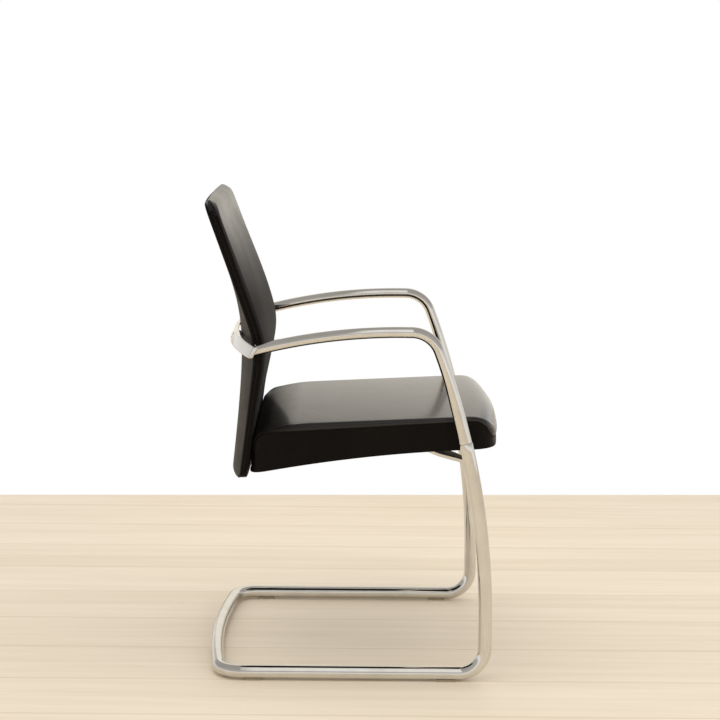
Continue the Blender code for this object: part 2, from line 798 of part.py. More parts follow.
def pad_cage(name, columns, rows, face, skirts, base=None):
    """A soft cage: a grid over the pad's face, skirts down its four sides and, if given, a base."""
    bm = bmesh.new()
    grid = [[bm.verts.new(point) for point in line] for line in stiff_grid(face, columns, rows)]
    skin_grid(bm, grid)
    border = [(0, index) for index in range(len(columns))]
    border += [(index, len(columns) - 1) for index in range(1, len(rows))]
    border += [(len(rows) - 1, index) for index in range(len(columns) - 2, -1, -1)]
    border += [(index, 0) for index in range(len(rows) - 2, 0, -1)]
    loop = [grid[row][column] for row, column in border]
    for skirt in skirts:
        lower = [bm.verts.new(skirt(columns[column], rows[row])) for row, column in border]
        for index in range(len(border)):
            after = (index + 1) % len(border)
            bm.faces.new((loop[index], loop[after], lower[after], lower[index]))
        loop = lower
    if base:
        edge = dict(zip(border, loop))
        floor = []
        for row, points in enumerate(stiff_grid(base, columns, rows)):
            line = []
            for column, point in enumerate(points):
                line.append(edge[(row, column)] if (row, column) in edge else bm.verts.new(point))
            floor.append(line)
        skin_grid(bm, floor)
    return mesh_from(name, bm, 80.0)


def skin_grid(bm, grid):
    """Quads between the neighbouring points of a grid."""
    for low_row, high_row in zip(grid, grid[1:]):
        for index in range(len(low_row) - 1):
            bm.faces.new((low_row[index], low_row[index + 1], high_row[index + 1], high_row[index]))


def make_soft(name, mesh, material):
    """A body rounded from its cage."""
    part = add_part(name, mesh, material)
    soft = part.modifiers.new("soft", "SUBSURF")
    soft.levels = COVER_LEVELS
    soft.render_levels = COVER_LEVELS
    return part


def make_cover(name, mesh):
    """Leather of even thickness over a soft cage."""
    cover = make_soft(name, mesh, LEATHER)
    leather = cover.modifiers.new("leather", "SOLIDIFY")
    leather.thickness = LEATHER_THICKNESS
    leather.offset = -1.0
    leather.use_even_offset = True
    return cover


SEAT_COLUMNS = (-1.0, -0.94, -0.5, 0.0, 0.5, 0.94, 1.0)
SEAT_ROWS = (0.0, 0.035, 0.12, 0.32, 0.55, 0.78, 0.92, 0.975, 1.0)


def seat_outline(column, row, side_inset, front_inset, rear_inset, corner_ease=0.0):
    """A plan point of the seat: column -1 to 1 across, row 0 to 1 from nose to tail."""
    front = SEAT_FRONT + front_inset
    rear = SEAT_REAR - rear_inset
    depth = mix(front, rear, row)
    loss = corner_loss(depth - front, SEAT_FRONT_CORNER + corner_ease)
    loss = max(loss, corner_loss(rear - depth, SEAT_REAR_CORNER + corner_ease))
    across = column * (SEAT_WIDTH / 2 - side_inset - loss)
    return across, depth + nose_bow(column, row)


def nose_bow(column, row):
    """How far the bowed front edge of the seat lies behind its middle."""
    return SEAT_NOSE_BOW * column**2 * (1.0 - row)


def seat_face(inset):
    """The crowned top of the seat, drawn in all round by inset."""

    def place(column, row):
        across, depth = seat_outline(
            column, row, SEAT_SIDE_ROLL + inset, SEAT_NOSE_ROLL + inset, SEAT_TAIL_ROLL + inset
        )
        height = seat_top(across, depth - nose_bow(column, row), SEAT_WIDTH / 2) - inset
        return Vector((across, depth, height))

    return place


def seat_skirt(side_inset, front_inset, rear_inset, share):
    """A line round the seat's sides, at a share of the height from underside to seam."""

    def place(column, row):
        across, depth = seat_outline(column, row, side_inset, front_inset, rear_inset)
        seam = seat_seam(depth) - seat_shoulder_drop(depth - nose_bow(column, row))
        return Vector((across, depth, mix(seat_underside(depth), seam, share)))

    return place


def seat_skirts(inset):
    """The fullest line and the drawn-in line of the seat's sides."""
    drawn = SEAT_DRAW_IN + inset
    full_tail = SEAT_TAIL_LEAN + inset
    drawn_tail = mix(SEAT_TAIL_UNDERCUT, SEAT_TAIL_LEAN, SEAT_DRAWN_SHARE) + inset
    return [
        seat_skirt(inset, inset, full_tail, SEAT_FULL_SHARE),
        seat_skirt(drawn, drawn, drawn_tail, SEAT_DRAWN_SHARE),
    ]


def make_seat_cover():
    """The sewn leather cover: a crowned top, a rolled nose and drawn-in side panels."""
    hem = seat_skirt(SEAT_SIDE_UNDERCUT, SEAT_NOSE_UNDERCUT, SEAT_TAIL_UNDERCUT, 0.0)
    mesh = pad_cage("seat_cover", SEAT_COLUMNS, SEAT_ROWS, seat_face(0.0), seat_skirts(0.0) + [hem])
    return make_cover("seat_cover", mesh)


def seat_panel(name, low_offset, high_offset, material):
    """A board inside the cover's hem, curved with the seat's underside."""
    side = SEAT_SIDE_UNDERCUT + SKIN + BOARD_SIDE_EASE
    front = SEAT_NOSE_UNDERCUT + SKIN
    outline = [seat_outline(-1.0, row, side, front, side, BOARD_CORNER_EASE) for row in SEAT_ROWS]
    sections = []
    for across, depth in outline:
        low = seat_underside(depth) + low_offset
        high = seat_underside(depth) + high_offset
        corners = ((across, low), (-across, low), (-across, high), (across, high))
        sections.append([Vector((place, depth, level)) for place, level in corners])
    return add_part(name, solid_loft(name, sections), material)


def make_seat_foam():
    """The foam block on the seat board, with the cover's form."""
    inset = SEAT_DRAW_IN + SKIN

    def on_board(column, row):
        across, depth = seat_outline(column, row, inset, SEAT_NOSE_UNDERCUT + SKIN, inset)
        return Vector((across, depth, board_top(depth) + FOAM_REST_EASE))

    skirts = seat_skirts(SKIN) + [on_board]
    mesh = pad_cage("seat_foam", SEAT_COLUMNS, SEAT_ROWS, seat_face(SKIN), skirts, on_board)
    return make_soft("seat_foam", mesh, FOAM)


# Back pieces

BACK_COLUMNS = (-1.0, -0.93, -0.5, 0.0, 0.5, 0.93, 1.0)
BACK_ROWS = (0.0, 0.04, 0.13, 0.27, 0.40, 0.50, 0.60, 0.76, 0.96, 1.0)


def back_outline(column, row, inset):
    """An elevation point of the back: column -1 to 1 across, row 0 to 1 from foot to head."""
    height = mix(BACK_BOTTOM + inset, BACK_TOP - inset, row)
    sag = BACK_FOOT_BOW * (1.0 - column**2) * (1.0 - row) ** 2
    return column * back_half_width(height, inset), height - sag


def back_layer(inset, depth_at):
    """One surface of the back, given the depth at each point of its outline."""

    def place(column, row):
        across, height = back_outline(column, row, inset)
        return Vector((across, depth_at(across, height), height))

    return place


def back_panel(name, inset, front, rear, material):
    """A bowed panel of the back between a front and a rear surface."""
    behind = back_layer(inset, rear)
    mesh = pad_cage(name, BACK_COLUMNS, BACK_ROWS, back_layer(inset, front), [behind], behind)
    return make_soft(name, mesh, material)


def shell_front(across, height):
    """Depth of the front face of the back shell."""
    return shell_rear(across, height) - BACK_SHELL_THICKNESS


def make_back_shell():
    """The moulded plywood shell of the back."""
    return back_panel("back_shell", SKIN + BACK_DRAW_IN, shell_front, shell_rear, PLYWOOD)


def make_rear_cover():
    """The thin cover over the rear of the shell."""

    def inner(across, height):
        return shell_rear(across, height) + REAR_COVER_EASE

    return back_panel("back_rear_cover", 0.0, inner, rear_cover_face, LEATHER)


def pad_side(share, inset):
    """A line round the back pad's sides, at a share of the way from its front edge to the shell."""

    def depth_at(across, height):
        return mix(pad_edge(height), shell_rear(across, height), share)

    return back_layer(inset, depth_at)


def make_back_cover():
    """The leather cover of the back pad, crowned at the front and open at the rear."""
    skirts = [
        pad_side(PAD_FULL_SHARE, 0.0),
        pad_side(PAD_DRAWN_SHARE, BACK_DRAW_IN),
        pad_side(1.0, 0.0),
    ]
    mesh = pad_cage("back_cover", BACK_COLUMNS, BACK_ROWS, back_layer(PAD_ROLL, pad_front), skirts)
    return make_cover("back_cover", mesh)


def make_back_foam():
    """The foam between the shell and the front cover, thickest at the small of the back."""
    inset = SKIN + BACK_DRAW_IN

    def front(across, height):
        return pad_front(across, height) + SKIN

    def rear(across, height):
        return shell_front(across, height) - FOAM_REST_EASE

    behind = back_layer(inset, rear)
    mesh = pad_cage("back_foam", BACK_COLUMNS, BACK_ROWS, back_layer(inset + PAD_ROLL, front), [behind], behind)
    return make_soft("back_foam", mesh, FOAM)


# Brackets and fasteners

def board_top(depth):
    """Height of the seat board's upper face."""
    return seat_underside(depth) + BOARD_HIGH


def bracket_lines(across):
    """Where a bracket starts on the board, its lower face there and its slope, and its upright's faces."""
    start = SEAT_REAR - BRACKET_SEAT_LEG
    low_start = board_top(start) + FIT_GAP + BRACKET_EASE
    low_end = board_top(SEAT_REAR) + FIT_GAP + BRACKET_EASE
    slope = (low_end - low_start) / (SEAT_REAR - start)
    outer_edge = abs(across) + BRACKET_WIDTH / 2
    foot = low_end + slope * (BACK_SHELL_THICKNESS + SEAT_BACK_GAP)
    heights = [mix(foot, foot + BRACKET_BACK_LEG, step / 4) for step in range(5)]
    rear = min(shell_front(outer_edge, height) for height in heights) - FIT_GAP - BRACKET_SHELL_EASE
    return start, low_start, slope, rear - BRACKET_THICKNESS, rear


def bracket_profile(across, grow):
    """Side outline of one bracket, thickened all round by grow, as (depth, height)."""
    start, low_start, slope, inner, rear = bracket_lines(across)
    low_rear = low_start + slope * (rear - start)
    high_inner = low_start + slope * (inner - start) + BRACKET_THICKNESS
    top = low_rear + BRACKET_BACK_LEG
    return [
        (start - grow, low_start - grow),
        (rear + grow, low_rear - grow),
        (rear + grow, top + grow),
        (inner - grow, top + grow),
        (inner - grow, high_inner + grow),
        (start - grow, low_start + BRACKET_THICKNESS + grow),
    ]


def bracket_body(name, across, grow):
    """An angle bracket, or the slot that it passes through."""
    half = BRACKET_WIDTH / 2 + grow
    outline = bracket_profile(across, grow)
    ends = []
    for edge in (across - half, across + half):
        ends.append([Vector((edge, depth, height)) for depth, height in outline])
    return solid_loft(name, ends)


def screw_profile(diameter, head_diameter, head_height, grip, socket=True):
    """A button head screw pointing down, its head standing on z = 0."""
    shank = diameter / 2
    head = head_diameter / 2
    profile = []
    if socket:
        hole = SCREW_SOCKET_DIAMETER / 2
        profile.append((0.0, head_height - SCREW_SOCKET_DEPTH))
        profile.append((hole, head_height - SCREW_SOCKET_DEPTH))
        profile.append((hole, head_height))
    else:
        profile.append((0.0, head_height))
    profile.append((head * SCREW_CROWN_SHARE, head_height))
    profile.append((head, head_height * SCREW_RIM_SHARE))
    profile.append((head, 0.0))
    profile.append((shank, 0.0))
    profile.append((shank, -grip))
    profile.append((0.0, -grip))
    return profile


def place_turned(name, profile, centre, axis, material):
    """Stand a turned piece on a point with its own up along an axis."""
    part = add_part(name, turned(name, profile), material)
    part.matrix_world = Matrix.Translation(centre) @ Vector(axis).to_track_quat("Z", "Y").to_matrix().to_4x4()
    spin(part)
    return part


def ring_profile(outer_diameter, inner_diameter, height):
    """A plain sleeve standing on z = 0."""
    outer = outer_diameter / 2
    inner = inner_diameter / 2
    return [(inner, height), (outer, height), (outer, 0.0), (inner, 0.0), (inner, height)]


def cut_spacer(name, centre, axis, diameter, near, far):
    """A sleeve round a screw whose two ends are cut to the surfaces that it stands between."""
    turn = Vector(axis).to_track_quat("Z", "Y")
    across = turn @ Vector((1.0, 0.0, 0.0))
    along = turn @ Vector((0.0, 1.0, 0.0))
    bore = SCREW_DIAMETER / 2 + SCREW_CLEARANCE
    walls = []
    for radius in (diameter / 2, bore):
        ring = ellipse_ring(Vector(centre), across, along, radius, radius)
        walls.append([[near(point) for point in ring], [far(point) for point in ring]])
    return add_part(name, hollow_loft(name, walls[0], walls[1]), PLASTIC)


def on_carrier(point):
    """A point moved straight up or down onto the carrier."""
    return Vector((point.x, point.y, carrier_top() + FIT_GAP))


def under_seat(point):
    """A point moved straight up or down to the seat's underside."""
    return Vector((point.x, point.y, seat_underside(point.y) - CARRIER_SPACER_EASE))


def on_rear_cover(point):
    """A point moved straight back or forth onto the rear cover."""
    return Vector((point.x, rear_cover_face(point.x, point.z) + FIT_GAP, point.z))


def on_band(point):
    """A point moved straight back or forth to the band's front face."""
    return Vector((point.x, band_front(point.x) - FIT_GAP, point.z))


def fix_seat(carrier, underside, board):
    """Four bolts through the carrier into inserts in the seat board, each with a wedge spacer."""
    top = carrier_top()
    low = top - CARRIER_THICKNESS
    hole = SCREW_DIAMETER + 2 * SCREW_CLEARANCE
    pocket = INSERT_DIAMETER + 2 * SCREW_CLEARANCE
    insert = ring_profile(INSERT_DIAMETER, hole, SEAT_INSERT_HEIGHT)
    carrier_drill = CARRIER_THICKNESS + DRILL_OVERRUN
    underside_drill = SEAT_UNDERSIDE_THICKNESS + DRILL_OVERRUN
    board_drill = SEAT_BOARD_THICKNESS + DRILL_OVERRUN
    for side_name, side in SIDES:
        for place_name, reach in (("outer", SEAT_BOLT_OUTER), ("inner", SEAT_BOLT_INNER)):
            label = place_name + "_" + side_name
            across = side * reach
            depth = carrier_middle(across)
            level = seat_underside(depth)
            carrier_centre = (across, depth, (low + top) / 2)
            underside_centre = (across, depth, level + SEAT_UNDERSIDE_THICKNESS / 2)
            board_centre = (across, depth, level + (BOARD_LOW + BOARD_HIGH) / 2)
            cut(carrier, drill("carrier_hole_" + label, carrier_centre, UP, hole, carrier_drill))
            cut(underside, drill("underside_hole_" + label, underside_centre, UP, hole, underside_drill))
            cut(board, drill("board_hole_" + label, board_centre, UP, pocket, board_drill))
            cut_spacer(
                "seat_spacer_" + label, carrier_centre, UP, CARRIER_SPACER_DIAMETER, on_carrier, under_seat
            )
            insert_low = board_centre[2] - SEAT_INSERT_HEIGHT / 2
            place_turned("seat_insert_" + label, insert, (across, depth, insert_low), UP, ZINC)
            grip = insert_low + SEAT_INSERT_HEIGHT - low
            bolt = screw_profile(SCREW_DIAMETER, SCREW_HEAD_DIAMETER, SCREW_HEAD_HEIGHT, grip)
            place_turned("seat_bolt_" + label, bolt, (across, depth, low - FIT_GAP), DOWN, ZINC)


def fix_back(band, rear_cover, shell):
    """Two screws through the band and its spacers into inserts in the back shell."""
    hole = SCREW_DIAMETER + 2 * SCREW_CLEARANCE
    pocket = INSERT_DIAMETER + 2 * SCREW_CLEARANCE
    insert = ring_profile(INSERT_DIAMETER, hole, BACK_INSERT_HEIGHT)
    band_drill = BAND_THICKNESS + DRILL_OVERRUN
    cover_drill = REAR_COVER_THICKNESS + DRILL_OVERRUN
    shell_drill = BACK_SHELL_THICKNESS + DRILL_OVERRUN
    for side_name, side in SIDES:
        across = side * BAND_SCREW_SPACING / 2
        front = band_front(across)
        rear = front + BAND_THICKNESS
        cover = rear_cover_face(across, BAND_LEVEL)
        shell_middle = shell_front(across, BAND_LEVEL) + BACK_SHELL_THICKNESS / 2
        band_centre = (across, (front + rear) / 2, BAND_LEVEL)
        cover_centre = (across, cover - REAR_COVER_THICKNESS / 2, BAND_LEVEL)
        shell_centre = (across, shell_middle, BAND_LEVEL)
        cut(band, drill("band_hole_" + side_name, band_centre, REARWARDS, hole, band_drill))
        cut(rear_cover, drill("cover_hole_" + side_name, cover_centre, REARWARDS, hole, cover_drill))
        cut(shell, drill("shell_hole_" + side_name, shell_centre, REARWARDS, pocket, shell_drill))
        cut_spacer(
            "band_spacer_" + side_name, cover_centre, REARWARDS, BAND_SPACER_DIAMETER, on_rear_cover, on_band
        )
        insert_front = shell_middle - BACK_INSERT_HEIGHT / 2
        place_turned("back_insert_" + side_name, insert, (across, insert_front, BAND_LEVEL), REARWARDS, ZINC)
        recess_floor = rear - BAND_SCREW_RECESS
        recess_length = BAND_SCREW_RECESS + DRILL_OVERRUN
        recess_centre = (across, recess_floor + recess_length / 2, BAND_LEVEL)
        recess_width = SCREW_HEAD_DIAMETER + 2 * SLOT_CLEARANCE
        cut(band, drill("band_recess_" + side_name, recess_centre, REARWARDS, recess_width, recess_length))
        head = recess_floor + FIT_GAP
        screw = screw_profile(SCREW_DIAMETER, SCREW_HEAD_DIAMETER, SCREW_HEAD_HEIGHT, head - insert_front)
        place_turned("band_screw_" + side_name, screw, (across, head, BAND_LEVEL), REARWARDS, ZINC)


def make_brackets(slotted):
    """Two angle brackets from the seat board into the foot of the back."""
    brackets = []
    for side_name, side in SIDES:
        across = side * BRACKET_SPACING / 2
        name = "back_bracket_" + side_name
        bracket = add_part(name, bracket_body(name, across, 0.0), ZINC)
        slot = add_cutter(name + "_slot", bracket_body(name + "_slot", across, SLOT_CLEARANCE))
        for part in slotted:
            cut(part, slot)
        brackets.append((side_name, across, bracket))
    return brackets


def bracket_screw(name, head, axis, grip, drilled, padded):
    """A pan head screw with its head base on a point, its hole and the hollow that its head presses."""
    axis = Vector(axis)
    start = Vector(head)
    profile = screw_profile(
        BRACKET_SCREW_DIAMETER, BRACKET_SCREW_HEAD_DIAMETER, BRACKET_SCREW_HEAD_HEIGHT, grip, socket=False
    )
    place_turned(name, profile, start, axis, ZINC)
    hole = BRACKET_SCREW_DIAMETER + 2 * SCREW_CLEARANCE
    hole_length = grip + 2 * SCREW_CLEARANCE
    hole_cutter = drill(name + "_hole", start - axis * (grip / 2), axis, hole, hole_length)
    for part in drilled:
        cut(part, hole_cutter)
    hollow = BRACKET_SCREW_HEAD_DIAMETER + 2 * SLOT_CLEARANCE
    hollow_length = BRACKET_SCREW_HEAD_HEIGHT + 2 * SLOT_CLEARANCE
    middle = start + axis * (BRACKET_SCREW_HEAD_HEIGHT / 2)
    cut(padded, drill(name + "_hollow", middle, axis, hollow, hollow_length))


def fix_brackets(brackets, board, seat_foam, shell, back_foam):
    """One screw down into the seat board and one rearwards into the back shell for each bracket."""
    for side_name, across, bracket in brackets:
        start, low_start, slope, inner, _ = bracket_lines(across)
        depth = start + BRACKET_SCREW_SETBACK
        upright = Vector((0.0, -slope, 1.0)).normalized()
        top = low_start + slope * BRACKET_SCREW_SETBACK + BRACKET_THICKNESS
        head = Vector((across, depth, top)) + upright * FIT_GAP
        grip = BRACKET_THICKNESS + BRACKET_SCREW_SEAT_GRIP
        bracket_screw("bracket_seat_screw_" + side_name, head, upright, grip, (bracket, board), seat_foam)
        height = low_start + slope * (inner - start) + BRACKET_BACK_LEG - BRACKET_SCREW_SETBACK
        head = Vector((across, inner - FIT_GAP, height))
        grip = shell_front(across, height) + BRACKET_SCREW_BACK_GRIP - head.y
        drilled = (bracket, back_foam, shell)
        bracket_screw("bracket_back_screw_" + side_name, head, FORWARDS, grip, drilled, back_foam)


def build_chair():
    """Make every piece and put the assembly together."""
    make_base_tube()
    for side_name, side in SIDES:
        make_arm_tube(side_name, side)
        make_spigot(side_name, side)
    make_glides()
    band = make_band()
    carrier = make_carrier()
    underside = seat_panel("seat_underside_cover", 0.0, SEAT_UNDERSIDE_THICKNESS, PLASTIC)
    board = seat_panel("seat_board", BOARD_LOW, BOARD_HIGH, PLYWOOD)
    seat_foam = make_seat_foam()
    seat_cover = make_seat_cover()
    shell = make_back_shell()
    back_foam = make_back_foam()
    back_cover = make_back_cover()
    rear_cover = make_rear_cover()
    fix_seat(carrier, underside, board)
    fix_back(band, rear_cover, shell)
    brackets = make_brackets((seat_foam, seat_cover, back_foam, back_cover))
    fix_brackets(brackets, board, seat_foam, shell, back_foam)


build_chair()
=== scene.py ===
"""Looks of the sled base visitor chair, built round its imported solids.

Metres, +Z up. The chair faces -Y and the sitter's right is -X.
"""

import json
import math

import bmesh
import bpy
from mathutils import Matrix, Vector
from mathutils.bvhtree import BVHTree


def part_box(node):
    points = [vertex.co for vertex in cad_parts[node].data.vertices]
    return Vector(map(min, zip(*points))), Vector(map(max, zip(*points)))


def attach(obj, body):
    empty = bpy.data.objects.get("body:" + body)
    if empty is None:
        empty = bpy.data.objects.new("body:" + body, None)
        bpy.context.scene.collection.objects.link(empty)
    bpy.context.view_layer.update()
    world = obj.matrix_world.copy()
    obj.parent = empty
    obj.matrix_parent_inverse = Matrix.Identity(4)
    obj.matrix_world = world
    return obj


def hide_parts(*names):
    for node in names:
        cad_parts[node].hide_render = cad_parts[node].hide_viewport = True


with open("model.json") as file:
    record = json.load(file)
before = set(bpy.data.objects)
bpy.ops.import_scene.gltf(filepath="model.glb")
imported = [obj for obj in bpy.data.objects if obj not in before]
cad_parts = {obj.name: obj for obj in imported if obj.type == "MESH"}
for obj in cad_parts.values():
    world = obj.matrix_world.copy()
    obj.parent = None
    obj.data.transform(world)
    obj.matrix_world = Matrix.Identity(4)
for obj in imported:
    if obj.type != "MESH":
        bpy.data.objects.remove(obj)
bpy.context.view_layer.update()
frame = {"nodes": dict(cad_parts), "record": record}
NODES = frame["nodes"]

# Camera, from the vanishing lines of the photograph
CAMERA_PLACE = Vector((-3.8381, -0.0177, 1.2100))
CAMERA_RIGHT = Vector((0.0017, -1.0, 0.0081))
CAMERA_AHEAD = Vector((0.9858, 0.0003, -0.1677))
CAMERA_LENS = 100.35
CAMERA_SENSOR = 36.0
CAMERA_REACH = 60.0

# Room
WALL_DEPTH = 1.202
WALL_TURN = -0.034
FLOOR_REACH = 14.0
WALL_HEIGHT = 6.0
BACKDROP_HALF_WIDTH = (0.50, 0.66)
BACKDROP_TOP = (1.12, 1.35)
BACKDROP_FOOT = (0.05, 0.30)
BACKDROP_TINT = (1.0, 0.945, 0.84)
# Painted shade: metal and leather see this darker, browner tone at the foot of the wall
BACKDROP_FOOT_SHADE = (0.46, 0.40, 0.32)
PLANK_WIDTH = 0.1915
PLANK_START = 0.115
PLANK_JOINT = 0.0045
PLANK_JOINT_DEPTH = 0.45
STRIP_JOINT_DEPTH = 0.14
FLOOR_DARK = (0.75, 0.63, 0.465)
FLOOR_LIGHT = (0.965, 0.845, 0.685)
WHITE = (1.0, 1.0, 1.0)

# Light, and the room that metal and leather mirror
LAMP_TINT = (1.0, 0.975, 0.94)
SKY_TINT = (1.0, 0.99, 0.97)
SKY_STRENGTH = 0.90
CEILING_PLACE = (-0.2, 0.0, 2.7)
CEILING_TARGET = (-0.2, 0.0, 0.0)
CEILING_POWER = 13.0
CEILING_SIZE = 2.4
FRONT_PLACE = (-1.6, -2.2, 2.0)
FRONT_TARGET = (0.0, 0.0, 0.5)
FRONT_POWER = 4.0
FRONT_SIZE = 1.6
ROOM_WHITE = (1.0, 0.98, 0.95)
ROOM_GREY = (0.42, 0.40, 0.385)
ROOM_BEYOND = ((0.0, (0.90, 0.88, 0.87)), (0.12, (0.80, 0.78, 0.77)), (0.34, ROOM_GREY), (1.0, ROOM_GREY))
ROOM_BEHIND = (
    (0.0, ROOM_WHITE),
    (0.12, ROOM_WHITE),
    (0.30, (0.52, 0.50, 0.48)),
    (0.75, (0.46, 0.44, 0.42)),
    (1.0, (0.40, 0.38, 0.365)),
)
ROOM_TURN = (-0.35, 0.25)
STRIP_HALF_WIDTH = (0.07, 0.10)
STRIP_HEIGHT = (0.45, 0.62)
STRIP_END = (-0.05, 0.12)

# Seat
SEAT_WIDTH = 0.450
SEAT_DEPTH = 0.4655
SEAT_FRONT = -0.279
SEAT_REAR = SEAT_FRONT + SEAT_DEPTH
SEAT_UNDERSIDE_FRONT = 0.4305
SEAT_UNDERSIDE_SLOPE = 0.0225
SEAT_UNDERSIDE_RADIUS = 2.62
SEAT_SEAM_FRONT = 0.4866
SEAT_SEAM_SLOPE = 0.0666
SEAT_TOP_RISE = 0.0063
SEAT_TOP_GAIN = 0.0166
SEAT_CROWN = 0.006
SEAT_FRONT_CORNER = 0.045
SEAT_REAR_CORNER = 0.030
SEAT_NOSE_BOW = 0.008
SEAT_NOSE_RADIUS = 0.050
SEAT_TAIL_FALL = 0.027
SEAT_TAIL_FALL_REACH = 0.085
SEAT_NOSE_UNDERCUT = 0.0006
SEAT_SIDE_UNDERCUT = 0.0025
SEAT_TAIL_UNDERCUT = 0.001
SEAT_SIDE_ROLL = 0.0075
SEAT_NOSE_ROLL = 0.006
SEAT_TAIL_ROLL = 0.0090
SEAT_DRAW_IN = 0.003
SEAT_BOARD_TOP = 0.0148
HEM_FOLD = 0.0022
HEM_GAP = 0.0004
BOARD_CORNER_EASE = 0.016
NOSE_SEAM_DROP = 0.036
TAIL_SEAM_DROP = 0.060
SEAM_DROP_START = math.radians(8.0)
SEAM_DROP_TURN = math.radians(60.0)
SEAM_GROOVE = 0.0022
SEAM_SPREAD = 0.0030
SEAM_SHOULDER = SEAM_SPREAD * 0.45
SEAT_TAIL_SEAM = 0.0027
SEAT_BASE_LIFT = SEAT_BOARD_TOP + 0.0008

# Rings down the seat's edge, as seat_roll, seam_ring, boxing_ring, seat_hem and board_edge take them
SEAT_ROLL_RINGS = ((58.0, 0.0058), (28.0, 0.0038), (4.0, 0.0026))
SEAT_ABOVE_SEAM = (0.0002, 0.0028, SEAM_SHOULDER)
SEAT_SEAM_RING = (SEAM_GROOVE, SEAT_TAIL_SEAM + SEAM_GROOVE, 0.0)
SEAT_BELOW_SEAM = (0.0003, 0.0026, -SEAM_SHOULDER)
SEAT_BOXING_RINGS = ((0.0008, 0.0024, 0.84), (SEAT_DRAW_IN * 0.8, 0.0022, 0.50))
SEAT_HEM_RINGS = ((-0.0006, 0.0046), (-0.0005, 0.0008), (0.0002, 0.0), (HEM_FOLD, 0.0004))
SEAT_BOARD_LIFTS = (0.0006, 0.0050, SEAT_BASE_LIFT)

# Frame tubes
FRAME_HALF_WIDTH = 0.265
BASE_TUBE_DIAMETER = 0.025
BASE_TUBE_WALL = 0.002
RUNNER_HEIGHT = 0.0143
LEG_FRONT = -0.252
FRONT_BEND_RADIUS = 0.048
LEG_STRAIGHT_TOP = 0.107
LEG_ARC_RADIUS = 1.435
SEAM_HEIGHT = 0.450
SEAM_GAP = 0.0003
CROSSBAR_REAR = 0.2585
CROSSBAR_BOW = 0.021
REAR_CORNER_RADIUS = 0.045
ARM_TUBE_DIAMETER = 0.0235
ARM_TUBE_WALL = 0.00175
ARM_DEPTH = 0.020
ARM_WIDTH = 0.027
ARM_APEX_HEIGHT = 0.6514
ARM_APEX_DEPTH = -0.0937
ARM_ARC_RADIUS = 1.04
ARM_BEND_RADIUS = 0.052
ARM_TAPER_START = 0.035
ARM_TAPER_LENGTH = 0.120
TUBE_LIP = 0.0003
# Rings at a tube's end and along it: travel from the end and loss of radius
PLAIN_RING = ((0.0, 0.0),)
TUBE_LIP_RINGS = ((0.0, TUBE_LIP), (TUBE_LIP * 0.4, TUBE_LIP * 0.25), (TUBE_LIP, 0.0))

# Steps, sides, rows and bands of the meshes
LEG_STEPS = 22
BEND_STEPS = 18
RUNNER_STEPS = 12
CROSSBAR_STEPS = 30
UPPER_LEG_STEPS = 14
ARM_BEND_STEPS = 22
ARM_STEPS = 40
BAR_STEPS = 84
BAR_EDGE_STEPS = 5
BASE_SIDES = 36
ARM_SIDES = 40
RECESS_SIDES = 48
SCREW_SIDES = 36
DOME_STEPS = 6
STITCH_SIDES = 6
CORNER_TURNS = (0.0, 22.0, 40.0, 56.0, 73.0, 90.0)
SEAT_INNER_ROWS = 9
BACK_INNER_ROWS = 22
SEAT_TOP_BANDS = 6
BACK_FRONT_BANDS = 3
CUSHION_LEVELS = 2
PANEL_LEVELS = 1

# Back
BACK_WIDTH = 0.430
BACK_TOP = 0.882
BACK_BOTTOM = 0.367
BACK_FOOT_BOW = 0.010
BACK_CORNER = 0.036
BACK_FOOT_CORNER = 0.018
BACK_WAIST_HEIGHT = 0.618
BACK_UPPER_LEAN = math.radians(20.15)
BACK_LOWER_LEAN = math.radians(7.2)
BACK_BOW = 0.0162
PAD_FOOT_TAPER = 0.070
EDGE_BEND_SOFTNESS = 0.0055
SPINE_BEND_SOFTNESS = 0.0299
PAD_BEND_SOFTNESS = 0.006
PAD_FOOT_EDGE = 0.0115
PAD_WAIST_EDGE = 0.0175
PAD_UPPER_EDGE = 0.0180
PAD_CROWN = 0.002
LUMBAR_CROWN = 0.0115
LUMBAR_HEIGHT = 0.705
LUMBAR_SPREAD = 0.085
BACK_DRAW_IN = 0.001
PAD_ROLL = 0.0055
PAD_SEAM_SHARE = 0.34
BACK_SHELL_THICKNESS = 0.005
REAR_COVER_THICKNESS = 0.0025
REAR_COVER_EASE = 0.0011
HEAD_RADIUS = 0.020
HEAD_FALL = 0.0110
HEAD_CREST_SHARE = 0.45
HEAD_REAR_DROP = 0.0065
HEAD_REAR_REACH = 0.045
HEAD_WRAP = 0.022
HEAD_WRAP_TILT = 0.35
SHELL_INSET = 0.0042
SHELL_HEAD_DROP = HEAD_REAR_DROP + 0.002
PANEL_HEAD_DROP = HEAD_REAR_DROP + 0.001
PAD_BASE_INSET = 0.0036
PAD_BASE_EASE = 0.0009
PANEL_FACE_INSET = 0.0022
SEAT_BACK_GAP = 0.0038
FOOT_DEPTH = SEAT_REAR + SEAT_BACK_GAP + PAD_FOOT_EDGE
WAIST_DEPTH = FOOT_DEPTH - math.tan(BACK_LOWER_LEAN) * (BACK_WAIST_HEIGHT - BACK_BOTTOM)

# Rings round the back pad: inset, share of the way to the shell and shift in depth
PAD_FRONT_RINGS = (
    (0.0019, PAD_SEAM_SHARE * 0.27),
    (0.0004, PAD_SEAM_SHARE * 0.62),
    (0.0, PAD_SEAM_SHARE, -SEAM_SPREAD * 0.5),
)
PAD_SEAM_RING = (SEAM_GROOVE * 0.8, PAD_SEAM_SHARE)
PAD_SIDE_RINGS = (
    (0.0001, PAD_SEAM_SHARE, SEAM_SPREAD * 0.5),
    (BACK_DRAW_IN, 0.66),
    (0.0002, 0.93),
    (0.0008, 1.0),
    (0.0030, 1.0),
    (0.0034, 0.94),
)

